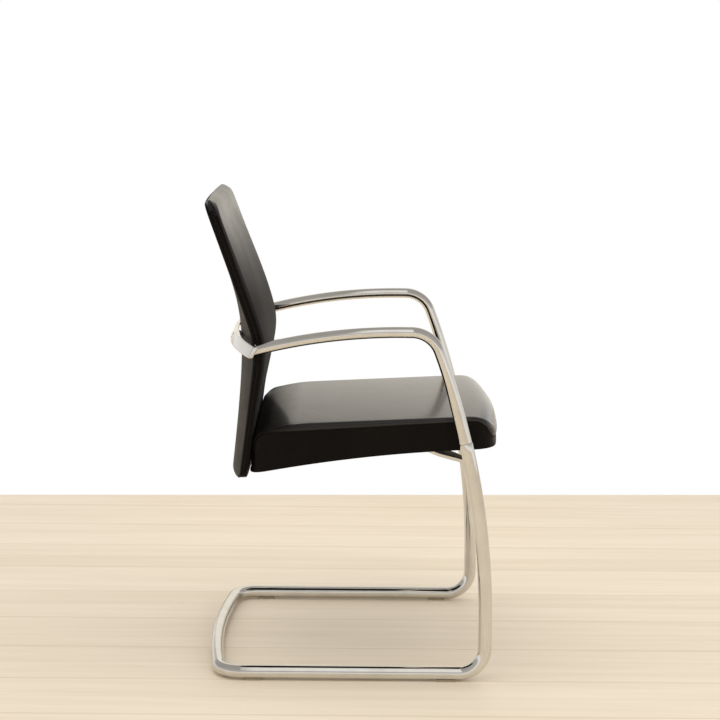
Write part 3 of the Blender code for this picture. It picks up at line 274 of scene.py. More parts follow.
# Rings round the rear panel: inset and lift off the shell
PANEL_RINGS = (
    (0.0003, REAR_COVER_THICKNESS * 0.75),
    (0.0, REAR_COVER_THICKNESS * 0.35),
    (0.0001, -0.0004),
    (0.0006, -0.0012),
    (PANEL_FACE_INSET, -0.0012),
    (0.0034, -0.0007),
)

# Rear band and seat carrier
BAND_BOW = 0.045
BAND_THICKNESS = 0.008
BAND_HEIGHT = 0.021
BAND_EDGE_RADIUS = 0.0018
BAR_END_EASE = 0.3
BAND_STAND_OFF = 0.0085
BAND_LEAN = 0.48
BAND_SCREW_SPACING = 0.140
BAND_SCREW_RECESS = 0.0041
SCREW_RECESS_EASE = 0.0003
CARRIER_BOW = 0.094
CARRIER_SETBACK = 0.1605
CARRIER_WIDTH = 0.034
CARRIER_END_WIDTH = 0.020
CARRIER_END_TAPER = 0.070
CARRIER_THICKNESS = 0.008
CARRIER_EDGE_RADIUS = 0.0018
CARRIER_SPACER_HEIGHT = 0.0045
SEAT_BOLT_INNER = 0.060
SEAT_BOLT_OUTER = 0.150

# Screw heads
HEAD_DIAMETER = 0.011
HEAD_HEIGHT = 0.0035
SHANK_DIAMETER = 0.006
SOCKET_ACROSS = 0.004
SOCKET_DEPTH = 0.002
DOME_START = math.radians(8.0)
DOME_END = math.radians(62.0)
DOME_FULLNESS = 0.8
SEAT_BOLT_GRIP = 0.020
BAND_SCREW_GRIP = 0.022

# Stitches
STITCH_LENGTH = 0.0042
STITCH_PITCH = 0.0058
STITCH_RADIUS = 0.00042
STITCH_OFFSET = 0.0052
STITCH_LIFT = 0.35
# Rings along a stitch: share of its length, then half width and sink in radii
STITCH_RINGS = ((-0.5, 0.35, 1.3), (-0.38, 1.0, 0.0), (0.0, 1.0, 0.0), (0.38, 1.0, 0.0), (0.5, 0.35, 1.3))

# Finishes
LEATHER_DARK = (0.0036, 0.0024, 0.0020)
LEATHER_LIGHT = (0.0056, 0.0039, 0.0033)
SEAT_POLISH = 0.15
SEAT_SAT_ON = (0.098, 0.160, 1.0, 0.70)
BACK_RUBBED = (0.69, 0.85, 0.48)
PEBBLE_WARP = 0.0011
PEBBLE_DEPTH = 0.00045
HAIRLINE_DEPTH = 0.00002
EROSION_DEPTH = 0.0002
FELT_DEPTH = 0.0004
BIRCH_DEPTH = 0.0003
CHROME_DARK = (0.66, 0.645, 0.61)
CHROME_LIGHT = (0.75, 0.735, 0.70)
ZINC_DARK = (0.42, 0.42, 0.40)
ZINC_LIGHT = (0.62, 0.62, 0.60)
THREAD_DARK = (0.006, 0.006, 0.006)
THREAD_LIGHT = (0.014, 0.013, 0.012)
PLASTIC_DARK = (0.010, 0.010, 0.010)
PLASTIC_LIGHT = (0.020, 0.020, 0.019)
# Painted shade: the glides' clear plastic takes the dark brown tone of the contact shadow under the runners
GLIDE_SHADE_DARK = (0.27, 0.22, 0.15)
GLIDE_SHADE_LIGHT = (0.36, 0.30, 0.21)
LINING_DARK = (0.008, 0.008, 0.008)
LINING_LIGHT = (0.024, 0.023, 0.022)
BIRCH_DARK = (0.42, 0.27, 0.14)
BIRCH_LIGHT = (0.66, 0.48, 0.29)

SIDES = (("right", -1.0), ("left", 1.0))
UNIT_X = Vector((1.0, 0.0, 0.0))
UNIT_Y = Vector((0.0, 1.0, 0.0))
UNIT_Z = Vector((0.0, 0.0, 1.0))


# Small sums

def mix(first, second, share):
    """Straight blend from first to second."""
    return first + (second - first) * share


def smooth_step(share):
    """Ease from 0 to 1 with flat ends."""
    held = min(1.0, max(0.0, share))
    return held * held * (3.0 - 2.0 * held)


def soft_max(first, second, softness):
    """The larger of two values, with the corner between them rounded off."""
    return (first + second) / 2 + math.hypot((first - second) / 2, softness)


# Shader groups

def feed(tree, node, inputs):
    """Set a node's inputs, given by label or number, to plain values or to the sockets that drive them."""
    for label, value in inputs.items():
        if isinstance(value, bpy.types.NodeSocket):
            tree.links.new(value, node.inputs[label])
        else:
            node.inputs[label].default_value = value


def add_node(tree, kind, inputs, **settings):
    """A new shader node with its settings and inputs."""
    node = tree.nodes.new("ShaderNode" + kind)
    for label, value in settings.items():
        setattr(node, label, value)
    feed(tree, node, inputs)
    return node


def math_node(tree, operation, *values):
    """The result of a Math node, from sockets or plain numbers."""
    return add_node(tree, "Math", dict(enumerate(values)), operation=operation).outputs[0]


def ranged(tree, value, low, high, to_low, to_high):
    """A value mapped from one range to another."""
    inputs = {"Value": value, "From Min": low, "From Max": high, "To Min": to_low, "To Max": to_high}
    return add_node(tree, "MapRange", inputs).outputs["Result"]


def noise(tree, place, scale, detail=2.0, roughness=0.5, output="Fac"):
    """A Noise texture over object space."""
    inputs = {"Vector": place, "Scale": scale, "Detail": detail, "Roughness": roughness}
    return add_node(tree, "TexNoise", inputs).outputs[output]


def blended(tree, share, first, second):
    """A colour mixed from two colours or colour sockets."""
    inputs = {"Factor": share}
    for label, colour in (("A", first), ("B", second)):
        inputs[label] = (*colour, 1.0) if isinstance(colour, tuple) else colour
    return add_node(tree, "Mix", inputs, data_type="RGBA").outputs["Result"]


def object_place(tree, stretch=(1.0, 1.0, 1.0)):
    """Object coordinates, stretched along the axes."""
    place = add_node(tree, "TexCoord", {}).outputs["Object"]
    return add_node(tree, "Mapping", {"Vector": place, "Scale": stretch}).outputs["Vector"]


def axes_of(tree, place):
    """The X, Y and Z of a place or a direction, by name."""
    return add_node(tree, "SeparateXYZ", {"Vector": place}).outputs


def new_group(name, inputs, outputs):
    """An empty shader group, with the sockets that bring its inputs and the node that takes its outputs."""
    group = bpy.data.node_groups.new(name, "ShaderNodeTree")
    for label, value in inputs.items():
        socket = group.interface.new_socket(label, in_out="INPUT", socket_type="NodeSocketFloat")
        socket.default_value = value
    for label in outputs:
        group.interface.new_socket(label, in_out="OUTPUT", socket_type="NodeSocketFloat")
    return group, group.nodes.new("NodeGroupInput").outputs, group.nodes.new("NodeGroupOutput")


def hide_grain_group():
    """Pebbled leather: cells between fine valleys, broad creasing and uneven polish."""
    group, given, leave = new_group(
        "hide_grain",
        {"Pebble Scale": 780.0, "Polish Low": 0.36, "Polish High": 0.48},
        ("Height", "Roughness", "Wear"),
    )
    place = object_place(group)
    warp = {0: noise(group, place, 320.0, 3.0, output="Color"), 1: (PEBBLE_WARP,) * 3, 2: place}
    warped = add_node(group, "VectorMath", warp, operation="MULTIPLY_ADD").outputs[0]
    cells = {"Vector": warped, "Scale": given["Pebble Scale"]}
    pebble = add_node(group, "TexVoronoi", cells, feature="DISTANCE_TO_EDGE").outputs["Distance"]
    dome = ranged(group, pebble, 0.0, 0.28, 0.0, 1.0)
    pore = noise(group, place, 2100.0)
    folds = ranged(group, noise(group, place, 34.0, 5.0, 0.62), 0.35, 0.65, 0.0, 1.0)
    height = math_node(group, "MULTIPLY_ADD", dome, 0.62, math_node(group, "MULTIPLY", pore, 0.14))
    height = math_node(group, "ADD", height, math_node(group, "MULTIPLY", folds, 0.55))
    polish = noise(group, place, 11.0, 4.0, 0.6)
    shine = ranged(group, polish, 0.3, 0.7, given["Polish Low"], given["Polish High"])
    valley = ranged(group, pebble, 0.0, 0.12, 0.10, 0.0)
    roughness = math_node(group, "ADD", shine, valley)
    wear = ranged(group, noise(group, place, 7.0, 3.0), 0.35, 0.75, 0.0, 1.0)
    feed(group, leave, {"Height": height, "Roughness": roughness, "Wear": wear})
    return group


def polish_marks_group():
    """Plated metal: cloudy polish, hairline wipes and the odd smear."""
    group, given, leave = new_group(
        "polish_marks",
        {"Roughness Low": 0.04, "Roughness High": 0.10, "Hairline Scale": 900.0},
        ("Roughness", "Height", "Haze"),
    )
    cloudy = ranged(group, noise(group, object_place(group), 16.0, 5.0, 0.62), 0.35, 0.72, 0.0, 1.0)
    wiped = object_place(group, (1.0, 0.05, 0.35))
    sharp = ranged(group, noise(group, wiped, given["Hairline Scale"]), 0.62, 0.70, 0.0, 1.0)
    worn = math_node(group, "MAXIMUM", cloudy, math_node(group, "MULTIPLY", sharp, 0.35))
    roughness = ranged(group, worn, 0.0, 1.0, given["Roughness Low"], given["Roughness High"])
    feed(group, leave, {"Roughness": roughness, "Height": sharp, "Haze": cloudy})
    return group


HIDE_GRAIN = hide_grain_group()
POLISH_MARKS = polish_marks_group()


# Materials

def new_material(name):
    """A material with its Principled shader."""
    material = bpy.data.materials.new(name)
    material.use_nodes = True
    return material, material.node_tree, material.node_tree.nodes["Principled BSDF"]


def bumped(tree, height, strength, distance):
    """A normal bent by a height."""
    inputs = {"Strength": strength, "Distance": distance, "Height": height}
    return add_node(tree, "Bump", inputs).outputs["Normal"]


def leather_material(name, polish, strength, gloss, rubbed=None, sat_on=None):
    """Black pigmented leather.

    rubbed gives the heights between which it dulls, and by how much; sat_on gives the depths between which
    the polish from use ends, and its weight at the nose and where it starts to end.
    """
    material, tree, shader = new_material(name)
    limits = dict(zip(("Polish Low", "Polish High"), polish))
    grain = add_node(tree, "Group", limits, node_tree=HIDE_GRAIN).outputs
    roughness = grain["Roughness"]
    axes = axes_of(tree, object_place(tree))
    if rubbed:
        low, high, dulling = rubbed
        roughness = math_node(tree, "ADD", roughness, ranged(tree, axes["Z"], low, high, dulling, 0.0))
    feed(tree, shader, {
        "Base Color": blended(tree, grain["Wear"], LEATHER_DARK, LEATHER_LIGHT),
        "Roughness": roughness,
        "Specular IOR Level": gloss,
        "Normal": bumped(tree, grain["Height"], strength, PEBBLE_DEPTH),
    })
    if sat_on:
        worn = ranged(tree, axes["Y"], SEAT_FRONT, sat_on[0], *sat_on[2:])
        tail = ranged(tree, axes["Y"], *sat_on[:2], 1.0, 0.0)
        coat = math_node(tree, "MULTIPLY", worn, tail)
        feed(tree, shader, {"Coat Weight": coat, "Coat Roughness": SEAT_POLISH})
    return material


def plated_material(name, dark, light, roughness, strength):
    """Plated metal with its own polish."""
    material, tree, shader = new_material(name)
    limits = dict(zip(("Roughness Low", "Roughness High"), roughness))
    marks = add_node(tree, "Group", limits, node_tree=POLISH_MARKS).outputs
    feed(tree, shader, {
        "Base Color": blended(tree, marks["Haze"], light, dark),
        "Metallic": 1.0,
        "Roughness": marks["Roughness"],
        "Normal": bumped(tree, marks["Height"], strength, HAIRLINE_DEPTH),
    })
    return material


def moulded_material(name, dark, light, roughness):
    """Moulded plastic with a fine eroded texture."""
    material, tree, shader = new_material(name)
    place = object_place(tree)
    dust = noise(tree, place, 60.0, 4.0)
    feed(tree, shader, {
        "Base Color": blended(tree, dust, dark, light),
        "Roughness": ranged(tree, dust, 0.3, 0.7, *roughness),
        "Specular IOR Level": 0.35,
        "Normal": bumped(tree, noise(tree, place, 1500.0, 3.0), 0.35, EROSION_DEPTH),
    })
    return material


def felt_material(name):
    """Bonded black lining cloth under the seat."""
    material, tree, shader = new_material(name)
    place = object_place(tree)
    fibre = noise(tree, place, 900.0, 5.0, 0.7)
    dimple = add_node(tree, "TexVoronoi", {"Vector": place, "Scale": 420.0}).outputs["Distance"]
    pressed = math_node(tree, "ADD", dimple, math_node(tree, "MULTIPLY", fibre, 0.5))
    feed(tree, shader, {
        "Base Color": blended(tree, fibre, LINING_DARK, LINING_LIGHT),
        "Roughness": ranged(tree, fibre, 0.3, 0.7, 0.82, 0.96),
        "Specular IOR Level": 0.15,
        "Sheen Weight": 0.15,
        "Normal": bumped(tree, pressed, 0.5, FELT_DEPTH),
    })
    return material


def plywood_material(name):
    """Raw birch plywood."""
    material, tree, shader = new_material(name)
    figure = noise(tree, object_place(tree, (1.0, 0.12, 1.0)), 90.0, 6.0, 0.6)
    feed(tree, shader, {
        "Base Color": blended(tree, figure, BIRCH_DARK, BIRCH_LIGHT),
        "Roughness": ranged(tree, figure, 0.3, 0.7, 0.55, 0.75),
        "Normal": bumped(tree, figure, 0.3, BIRCH_DEPTH),
    })
    return material


CHROME = plated_material(
    "polished_chrome", CHROME_DARK, CHROME_LIGHT, roughness=(0.045, 0.11), strength=0.05
)
ZINC = plated_material("zinc_plate", ZINC_DARK, ZINC_LIGHT, roughness=(0.26, 0.42), strength=0.15)
TOP_LEATHER = leather_material(
    "seat_top_leather", polish=(0.44, 0.54), strength=0.05, gloss=0.08, sat_on=SEAT_SAT_ON
)
SIDE_LEATHER = leather_material("boxing_leather", polish=(0.34, 0.44), strength=0.14, gloss=0.08)
BACK_LEATHER = leather_material(
    "back_leather", polish=(0.18, 0.24), strength=0.06, gloss=0.4, rubbed=BACK_RUBBED
)
REAR_LEATHER = leather_material("rear_leather", polish=(0.46, 0.56), strength=0.10, gloss=0.2)
THREAD = moulded_material("black_thread", THREAD_DARK, THREAD_LIGHT, roughness=(0.5, 0.7))
PLASTIC = moulded_material("black_plastic", PLASTIC_DARK, PLASTIC_LIGHT, roughness=(0.42, 0.58))
# Clear plastic of the glides, coloured with painted shade from the runners' contact shadow
GLIDE_SHADE_PLASTIC = moulded_material("clear_plastic", GLIDE_SHADE_DARK, GLIDE_SHADE_LIGHT, roughness=(0.16, 0.28))
LINING = felt_material("seat_lining")
PLYWOOD = plywood_material("birch_plywood")
SLOT_FINISH = {
    "chrome": CHROME,
    "black_leather": BACK_LEATHER,
    "foam": LINING,
    "plywood": PLYWOOD,
    "black_plastic": PLASTIC,
    "clear_plastic": GLIDE_SHADE_PLASTIC,
    "zinc_steel": ZINC,
}


def finish_solids():
    """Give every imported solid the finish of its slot."""
    for entry in frame["record"]["subparts"]:
        solid = NODES[entry["node"]]
        solid.data.materials.clear()
        solid.data.materials.append(SLOT_FINISH[entry["material_slot"]])
    lining = NODES["seat_underside_cover"].data.materials
    lining.clear()
    lining.append(LINING)


# Mesh building

def scene_object(name, data):
    """A new object in the scene's collection."""
    made = bpy.data.objects.new(name, data)
    bpy.context.scene.collection.objects.link(made)
    return made


def mesh_from(name, bm):
    """A new mesh from a bmesh, which ends there."""
    mesh = bpy.data.meshes.new(name)
    bm.to_mesh(mesh)
    bm.free()
    return mesh


def add_piece(name, bm, materials, stands_for=(), smooth_angle=40.0):
    """Turn a bmesh into a piece that rides with the chair."""
    bmesh.ops.recalc_face_normals(bm, faces=bm.faces[:])
    mesh = mesh_from(name, bm)
    mesh.shade_smooth()
    mesh.set_sharp_from_angle(angle=math.radians(smooth_angle))
    for material in materials:
        mesh.materials.append(material)
    piece = scene_object(name, mesh)
    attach(piece, "root")
    if stands_for:
        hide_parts(*stands_for)
    return piece


def bridge(bm, first, second):
    """Quads between two closed rings of vertices."""
    made = []
    for index in range(len(first)):
        after = (index + 1) % len(first)
        made.append(bm.faces.new((first[index], first[after], second[after], second[index])))
    return made


def join_rings(bm, rings):
    """Skin neighbouring closed rings with quads and return the ring vertices."""
    made = [[bm.verts.new(point) for point in ring] for ring in rings]
    for ring, following in zip(made, made[1:]):
        bridge(bm, ring, following)
    return made


def closed_rings(bm, rings):
    """Skin neighbouring closed rings and close both ends."""
    made = join_rings(bm, rings)
    bm.faces.new(made[0])
    bm.faces.new(made[-1])


def oval_ring(centre, across, along, half_across, half_along, sides):
    """Points round an ellipse in the plane of two unit vectors."""
    ring = []
    for index in range(sides):
        angle = 2 * math.pi * index / sides
        aside = across * (half_across * math.cos(angle))
        ring.append(centre + aside + along * (half_along * math.sin(angle)))
    return ring


def tube_wall(name, outer, inner, stands_for):
    """A chrome tube between outer and inner rings, open at both ends."""
    bm = bmesh.new()
    skin = join_rings(bm, outer)
    bore = join_rings(bm, inner)
    bridge(bm, skin[0], bore[0])
    bridge(bm, skin[-1], bore[-1])
    add_piece(name, bm, [CHROME], stands_for)


# Frame lines

def leg_depth(height):
    """Depth of the leg's centre line at a height above the straight foot."""
    rise = max(0.0, height - LEG_STRAIGHT_TOP)
    return LEG_FRONT + LEG_ARC_RADIUS - math.sqrt(LEG_ARC_RADIUS**2 - rise**2)


def arm_height(depth):
    """Height of the arm's centre line at a depth."""
    reach = depth - ARM_APEX_DEPTH
    return ARM_APEX_HEIGHT - ARM_ARC_RADIUS + math.sqrt(ARM_ARC_RADIUS**2 - reach**2)


def arm_bend():
    """Centre of the bend between leg and arm, with the points where it touches them."""
    leg_centre = Vector((LEG_FRONT + LEG_ARC_RADIUS, LEG_STRAIGHT_TOP))
    arm_centre = Vector((ARM_APEX_DEPTH, ARM_APEX_HEIGHT - ARM_ARC_RADIUS))
    leg_reach = LEG_ARC_RADIUS - ARM_BEND_RADIUS
    arm_reach = ARM_ARC_RADIUS - ARM_BEND_RADIUS
    apart = arm_centre - leg_centre
    along = (leg_reach**2 - arm_reach**2 + apart.length_squared) / (2 * apart.length)
    aside = math.sqrt(leg_reach**2 - along**2)
    direction = apart.normalized()
    centre = leg_centre + direction * along + Vector((direction.y, -direction.x)) * aside
    leg_touch = centre + (centre - leg_centre).normalized() * ARM_BEND_RADIUS
    arm_touch = centre + (centre - arm_centre).normalized() * ARM_BEND_RADIUS
    return centre, leg_touch, arm_touch


def crossbar_circle():
    """Radius of the bowed crossbar and the depth of its centre."""
    radius = (FRAME_HALF_WIDTH**2 + CROSSBAR_BOW**2) / (2 * CROSSBAR_BOW)
    return radius, CROSSBAR_REAR - radius


def rear_corner():
    """Plan centre of the corner between runner and crossbar, and the angle where it meets the crossbar."""
    radius, bar_centre = crossbar_circle()
    across = FRAME_HALF_WIDTH - REAR_CORNER_RADIUS
    depth = bar_centre + math.sqrt((radius - REAR_CORNER_RADIUS) ** 2 - across**2)
    return across, depth, math.atan2(depth - bar_centre, across)


def steps(first, last, count):
    """Evenly spaced values from first to last."""
    return [mix(first, last, index / count) for index in range(count + 1)]


def base_line():
    """Centre line of the base tube, from one leg seam round the sled to the other."""
    side = []
    for height in steps(SEAM_HEIGHT, LEG_STRAIGHT_TOP, LEG_STEPS):
        side.append(Vector((FRAME_HALF_WIDTH, leg_depth(height), height)))
    bend_depth = LEG_FRONT + FRONT_BEND_RADIUS
    bend_height = RUNNER_HEIGHT + FRONT_BEND_RADIUS
    for angle in steps(math.pi, 1.5 * math.pi, BEND_STEPS):
        depth = bend_depth + FRONT_BEND_RADIUS * math.cos(angle)
        height = bend_height + FRONT_BEND_RADIUS * math.sin(angle)
        side.append(Vector((FRAME_HALF_WIDTH, depth, height)))
    corner_across, corner_depth, corner_end = rear_corner()
    for depth in steps(bend_depth, corner_depth, RUNNER_STEPS)[1:-1]:
        side.append(Vector((FRAME_HALF_WIDTH, depth, RUNNER_HEIGHT)))
    for angle in steps(0.0, corner_end, BEND_STEPS):
        across = corner_across + REAR_CORNER_RADIUS * math.cos(angle)
        depth = corner_depth + REAR_CORNER_RADIUS * math.sin(angle)
        side.append(Vector((across, depth, RUNNER_HEIGHT)))
    radius, bar_centre = crossbar_circle()
    bar = []
    for angle in steps(corner_end, math.pi - corner_end, CROSSBAR_STEPS)[1:-1]:
        bar.append(Vector((radius * math.cos(angle), bar_centre + radius * math.sin(angle), RUNNER_HEIGHT)))
    mirrored = [Vector((-point.x, point.y, point.z)) for point in reversed(side)]
    return side + bar + mirrored


def arm_line(end_depth):
    """Centre line of one arm tube from the leg seam to its rear end, as (depth, height)."""
    centre, leg_touch, arm_touch = arm_bend()
    points = []
    for height in steps(SEAM_HEIGHT + SEAM_GAP, leg_touch.y, UPPER_LEG_STEPS)[:-1]:
        points.append(Vector((leg_depth(height), height)))
    first = math.atan2(leg_touch.y - centre.y, leg_touch.x - centre.x)
    last = math.atan2(arm_touch.y - centre.y, arm_touch.x - centre.x)
    for angle in steps(first, last, ARM_BEND_STEPS):
        points.append(centre + Vector((math.cos(angle), math.sin(angle))) * ARM_BEND_RADIUS)
    for depth in steps(arm_touch.x, end_depth, ARM_STEPS)[1:]:
        points.append(Vector((depth, arm_height(depth))))
    return points


# Seat surfaces

def corner_loss(distance, radius):
    """How far a rounded corner draws a side in at a distance from its end."""
    if distance >= radius:
        return 0.0
    return radius - math.sqrt(radius**2 - (radius - max(distance, 0.0)) ** 2)


def seat_underside(depth):
    """Height of the seat's lower edge at a depth."""
    run = depth - SEAT_FRONT
    return SEAT_UNDERSIDE_FRONT - SEAT_UNDERSIDE_SLOPE * run - run**2 / (2 * SEAT_UNDERSIDE_RADIUS)


def seat_seam(depth):
    """Height of the edge along the seat's side at a depth."""
    return SEAT_SEAM_FRONT - SEAT_SEAM_SLOPE * (depth - SEAT_FRONT)


def seat_fall(depth):
    """How far the top panel falls over the nose and over the tail."""
    nose_share = max(0.0, 1.0 - (depth - SEAT_FRONT) / SEAT_NOSE_RADIUS)
    tail_share = max(0.0, 1.0 - (SEAT_REAR - depth) / SEAT_TAIL_FALL_REACH)
    nose = SEAT_NOSE_RADIUS * (1.0 - math.sqrt(1.0 - nose_share**2))
    return nose + SEAT_TAIL_FALL * tail_share**2


def seat_top(across, depth):
    """Height of the crowned top of the seat."""
    share = min(1.0, abs(across) / (SEAT_WIDTH / 2))
    rise = SEAT_TOP_RISE + SEAT_TOP_GAIN * (depth - SEAT_FRONT)
    return seat_seam(depth) + rise + SEAT_CROWN * (1.0 - share**2) - seat_fall(depth)


# Back surfaces

def upper_back(height):
    """Depth of the straight upper part of the back's edge."""
    return WAIST_DEPTH + math.tan(BACK_UPPER_LEAN) * (height - BACK_WAIST_HEIGHT)


def lower_back(height):
    """Depth of the straight lower part of the back's edge."""
    return WAIST_DEPTH + math.tan(BACK_LOWER_LEAN) * (BACK_WAIST_HEIGHT - height)


def shell_rear(across, height):
    """Depth of the rear face of the bowed back shell."""
    edge = soft_max(upper_back(height), lower_back(height), EDGE_BEND_SOFTNESS)
    spine = soft_max(upper_back(height), lower_back(height) + BACK_BOW, SPINE_BEND_SOFTNESS)
    share = min(1.0, abs(across) / (BACK_WIDTH / 2))
    return edge + (spine - edge) * (1.0 - share**2)


def shell_front(across, height):
    """Depth of the front face of the back shell."""
    return shell_rear(across, height) - BACK_SHELL_THICKNESS


def pad_edge(height):
    """Depth of the line where the back pad's front turns into its side."""
    seat_level = seat_seam(SEAT_REAR)
    waist_share = (height - seat_level) / (BACK_WAIST_HEIGHT - seat_level)
    lower_edge = mix(PAD_FOOT_EDGE, PAD_WAIST_EDGE, smooth_step(waist_share))
    return soft_max(upper_back(height) - PAD_UPPER_EDGE, lower_back(height) - lower_edge, PAD_BEND_SOFTNESS)


def pad_front(across, height):
    """Depth of the crowned front of the back pad."""
    share = min(1.0, abs(across) / (BACK_WIDTH / 2))
    offset = (height - LUMBAR_HEIGHT) / LUMBAR_SPREAD
    lumbar = LUMBAR_CROWN * math.exp(-(offset**2) / 2)
    clear_of_seat = smooth_step((height - seat_seam(SEAT_REAR)) / PAD_FOOT_TAPER)
    return pad_edge(height) - (PAD_CROWN + lumbar) * (1.0 - share**4) * clear_of_seat


def back_half_width(height, inset):
    """Half of the back's width at a height, with its four corners rounded."""
    low = corner_loss(height - BACK_BOTTOM - inset, BACK_FOOT_CORNER)
    high = corner_loss(BACK_TOP - inset - height, BACK_CORNER)
    return BACK_WIDTH / 2 - inset - max(low, high)


def rear_cover_face(across, height):
    """Depth of the outer face of the rear cover."""
    return shell_rear(across, height) + REAR_COVER_EASE + REAR_COVER_THICKNESS


def band_line():
    """Depth of the band's front face at the centre and the height of its middle line."""
    height = arm_height(rear_cover_face(0.0, BACK_WAIST_HEIGHT) - BAND_BOW)
    for _ in range(4):
        depth = rear_cover_face(0.0, height) + BAND_STAND_OFF
        height = arm_height(depth - BAND_BOW)
    return depth, height


BAND_DEPTH, BAND_LEVEL = band_line()
ARM_END = BAND_DEPTH - BAND_BOW
CARRIER_TOP = seat_underside(SEAT_FRONT + CARRIER_SETBACK) - CARRIER_SPACER_HEIGHT
CARRIER_HALF_LENGTH = FRAME_HALF_WIDTH - BASE_TUBE_DIAMETER / 2


def band_front(across):
    """Depth of the band's front face."""
    return ARM_END + BAND_BOW * (1.0 - (across / FRAME_HALF_WIDTH) ** 2)


def carrier_middle(across):
    """Depth of the carrier's middle line, bowed rearwards from the legs."""
    at_leg = leg_depth(CARRIER_TOP - CARRIER_THICKNESS / 2)
    return at_leg + CARRIER_BOW * (1.0 - (across / CARRIER_HALF_LENGTH) ** 2)


# Frame pieces

def make_base_tube():
    """The lower legs, runners and crossbar of one bent tube, with rounded lips at the leg seams."""
    line = base_line()
    outer = []
    inner = []
    across = UNIT_X
    bore = BASE_TUBE_DIAMETER / 2 - BASE_TUBE_WALL
    last = len(line) - 1
    for index, point in enumerate(line):
        heading = (line[min(index + 1, last)] - line[max(index - 1, 0)]).normalized()
        across = (across - heading * across.dot(heading)).normalized()
        along = heading.cross(across)
        inward = -heading if index == last else heading
        lips = {0: TUBE_LIP_RINGS, last: TUBE_LIP_RINGS[::-1]}
        for travel, loss in lips.get(index, PLAIN_RING):
            centre = point + inward * travel
            radius = BASE_TUBE_DIAMETER / 2 - loss
            outer.append(oval_ring(centre, across, along, radius, radius, BASE_SIDES))
            inner.append(oval_ring(centre, across, along, bore, bore, BASE_SIDES))
    tube_wall("sled_base", outer, inner, ["sled_base_tube"])


def meet_band(point, along):
    """Slide a point along the arm until it meets the leaning front face of the band."""
    face = band_front(point.x) - BAND_LEAN * (point.z - BAND_LEVEL)
    return point + along * ((face - point.y) / (along.y + BAND_LEAN * along.z))


def make_arm(side_name, side):
    """One upper leg and arm: round at the seam, pressed oval along the arm."""
    line = arm_line(ARM_END)
    outer = []
    inner = []
    travelled = 0.0
    across = UNIT_X
    last = len(line) - 1
    for index, point in enumerate(line):
        before = line[max(index - 1, 0)]
        travelled += (point - before).length
        heading = (line[min(index + 1, last)] - before).normalized()
        outward = Vector((0.0, -heading.y, heading.x))
        share = smooth_step((travelled - ARM_TAPER_START) / ARM_TAPER_LENGTH)
        half_depth = mix(ARM_TUBE_DIAMETER, ARM_DEPTH, share) / 2
        half_width = mix(ARM_TUBE_DIAMETER, ARM_WIDTH, share) / 2
        flush = outward * (ARM_TUBE_DIAMETER / 2 - half_depth)
        centre = Vector((side * FRAME_HALF_WIDTH, point.x, point.y)) + flush
        outer.append(oval_ring(centre, across, outward, half_width, half_depth, ARM_SIDES))
        bore_width = half_width - ARM_TUBE_WALL
        bore_depth = half_depth - ARM_TUBE_WALL
        inner.append(oval_ring(centre, across, outward, bore_width, bore_depth, ARM_SIDES))
    along = Vector((0.0, heading.x, heading.y))
    for rings in (outer, inner):
        rings[-1] = [meet_band(point, along) for point in rings[-1]]
    tube_wall("arm_" + side_name, outer, inner, ["arm_tube_" + side_name])


def rounded_section(front, rear, low, high, radius):
    """A rectangle in depth and height with rounded corners."""
    corners = (
        (rear - radius, high - radius, 0.0),
        (front + radius, high - radius, 90.0),
        (front + radius, low + radius, 180.0),
        (rear - radius, low + radius, 270.0),
    )
    section = []
    for depth, height, start in corners:
        for turn in steps(start, start + 90.0, BAR_EDGE_STEPS):
            angle = math.radians(turn)
            section.append((depth + radius * math.cos(angle), height + radius * math.sin(angle)))
    return section


def bowed_bar(name, half_length, front_at, rear_at, low, height, radius, stands_for, lean=0.0):
    """A flat chrome bar between two bowed lines, with rounded edges and eased ends."""
    middle = low + height / 2
    places = steps(-half_length + radius, half_length - radius, BAR_STEPS)
    ease = radius * BAR_END_EASE
    stations = [(-half_length, radius), (-half_length + ease, ease)]
    stations += [(place, 0.0) for place in places]
    stations += [(half_length - ease, ease), (half_length, radius)]
    rings = []
    for across, shrink in stations:
        front = front_at(across) + shrink
        rear = rear_at(across) - shrink
        section = rounded_section(front, rear, low + shrink, low + height - shrink, radius)
        rings.append([Vector((across, depth - lean * (level - middle), level)) for depth, level in section])
    bm = bmesh.new()
    closed_rings(bm, rings)
    return add_piece(name, bm, [CHROME], stands_for)


def band_rear(across):
    """Depth of the band's rear face."""
    return band_front(across) + BAND_THICKNESS


def carrier_half_width(across):
    """Half of the carrier's width, tapered towards the legs."""
    from_leg = CARRIER_HALF_LENGTH - abs(across)
    return mix(CARRIER_END_WIDTH, CARRIER_WIDTH, smooth_step(from_leg / CARRIER_END_TAPER)) / 2


def carrier_front(across):
    """Depth of the carrier's front edge."""
    return carrier_middle(across) - carrier_half_width(across)


def carrier_rear(across):
    """Depth of the carrier's rear edge."""
    return carrier_middle(across) + carrier_half_width(across)


def make_bars():
    """The band behind the back and the carrier under the seat."""
    band_half = FRAME_HALF_WIDTH + ARM_WIDTH / 2
    band_low = BAND_LEVEL - BAND_HEIGHT / 2
    band = bowed_bar(
        "rear_band", band_half, band_front, band_rear, band_low, BAND_HEIGHT, BAND_EDGE_RADIUS,
        ["back_band"], BAND_LEAN,
    )
    sink_recesses(band)
    carrier_low = CARRIER_TOP - CARRIER_THICKNESS
    bowed_bar(
        "carrier_bar", CARRIER_HALF_LENGTH, carrier_front, carrier_rear, carrier_low, CARRIER_THICKNESS,
        CARRIER_EDGE_RADIUS, ["seat_carrier"],
    )


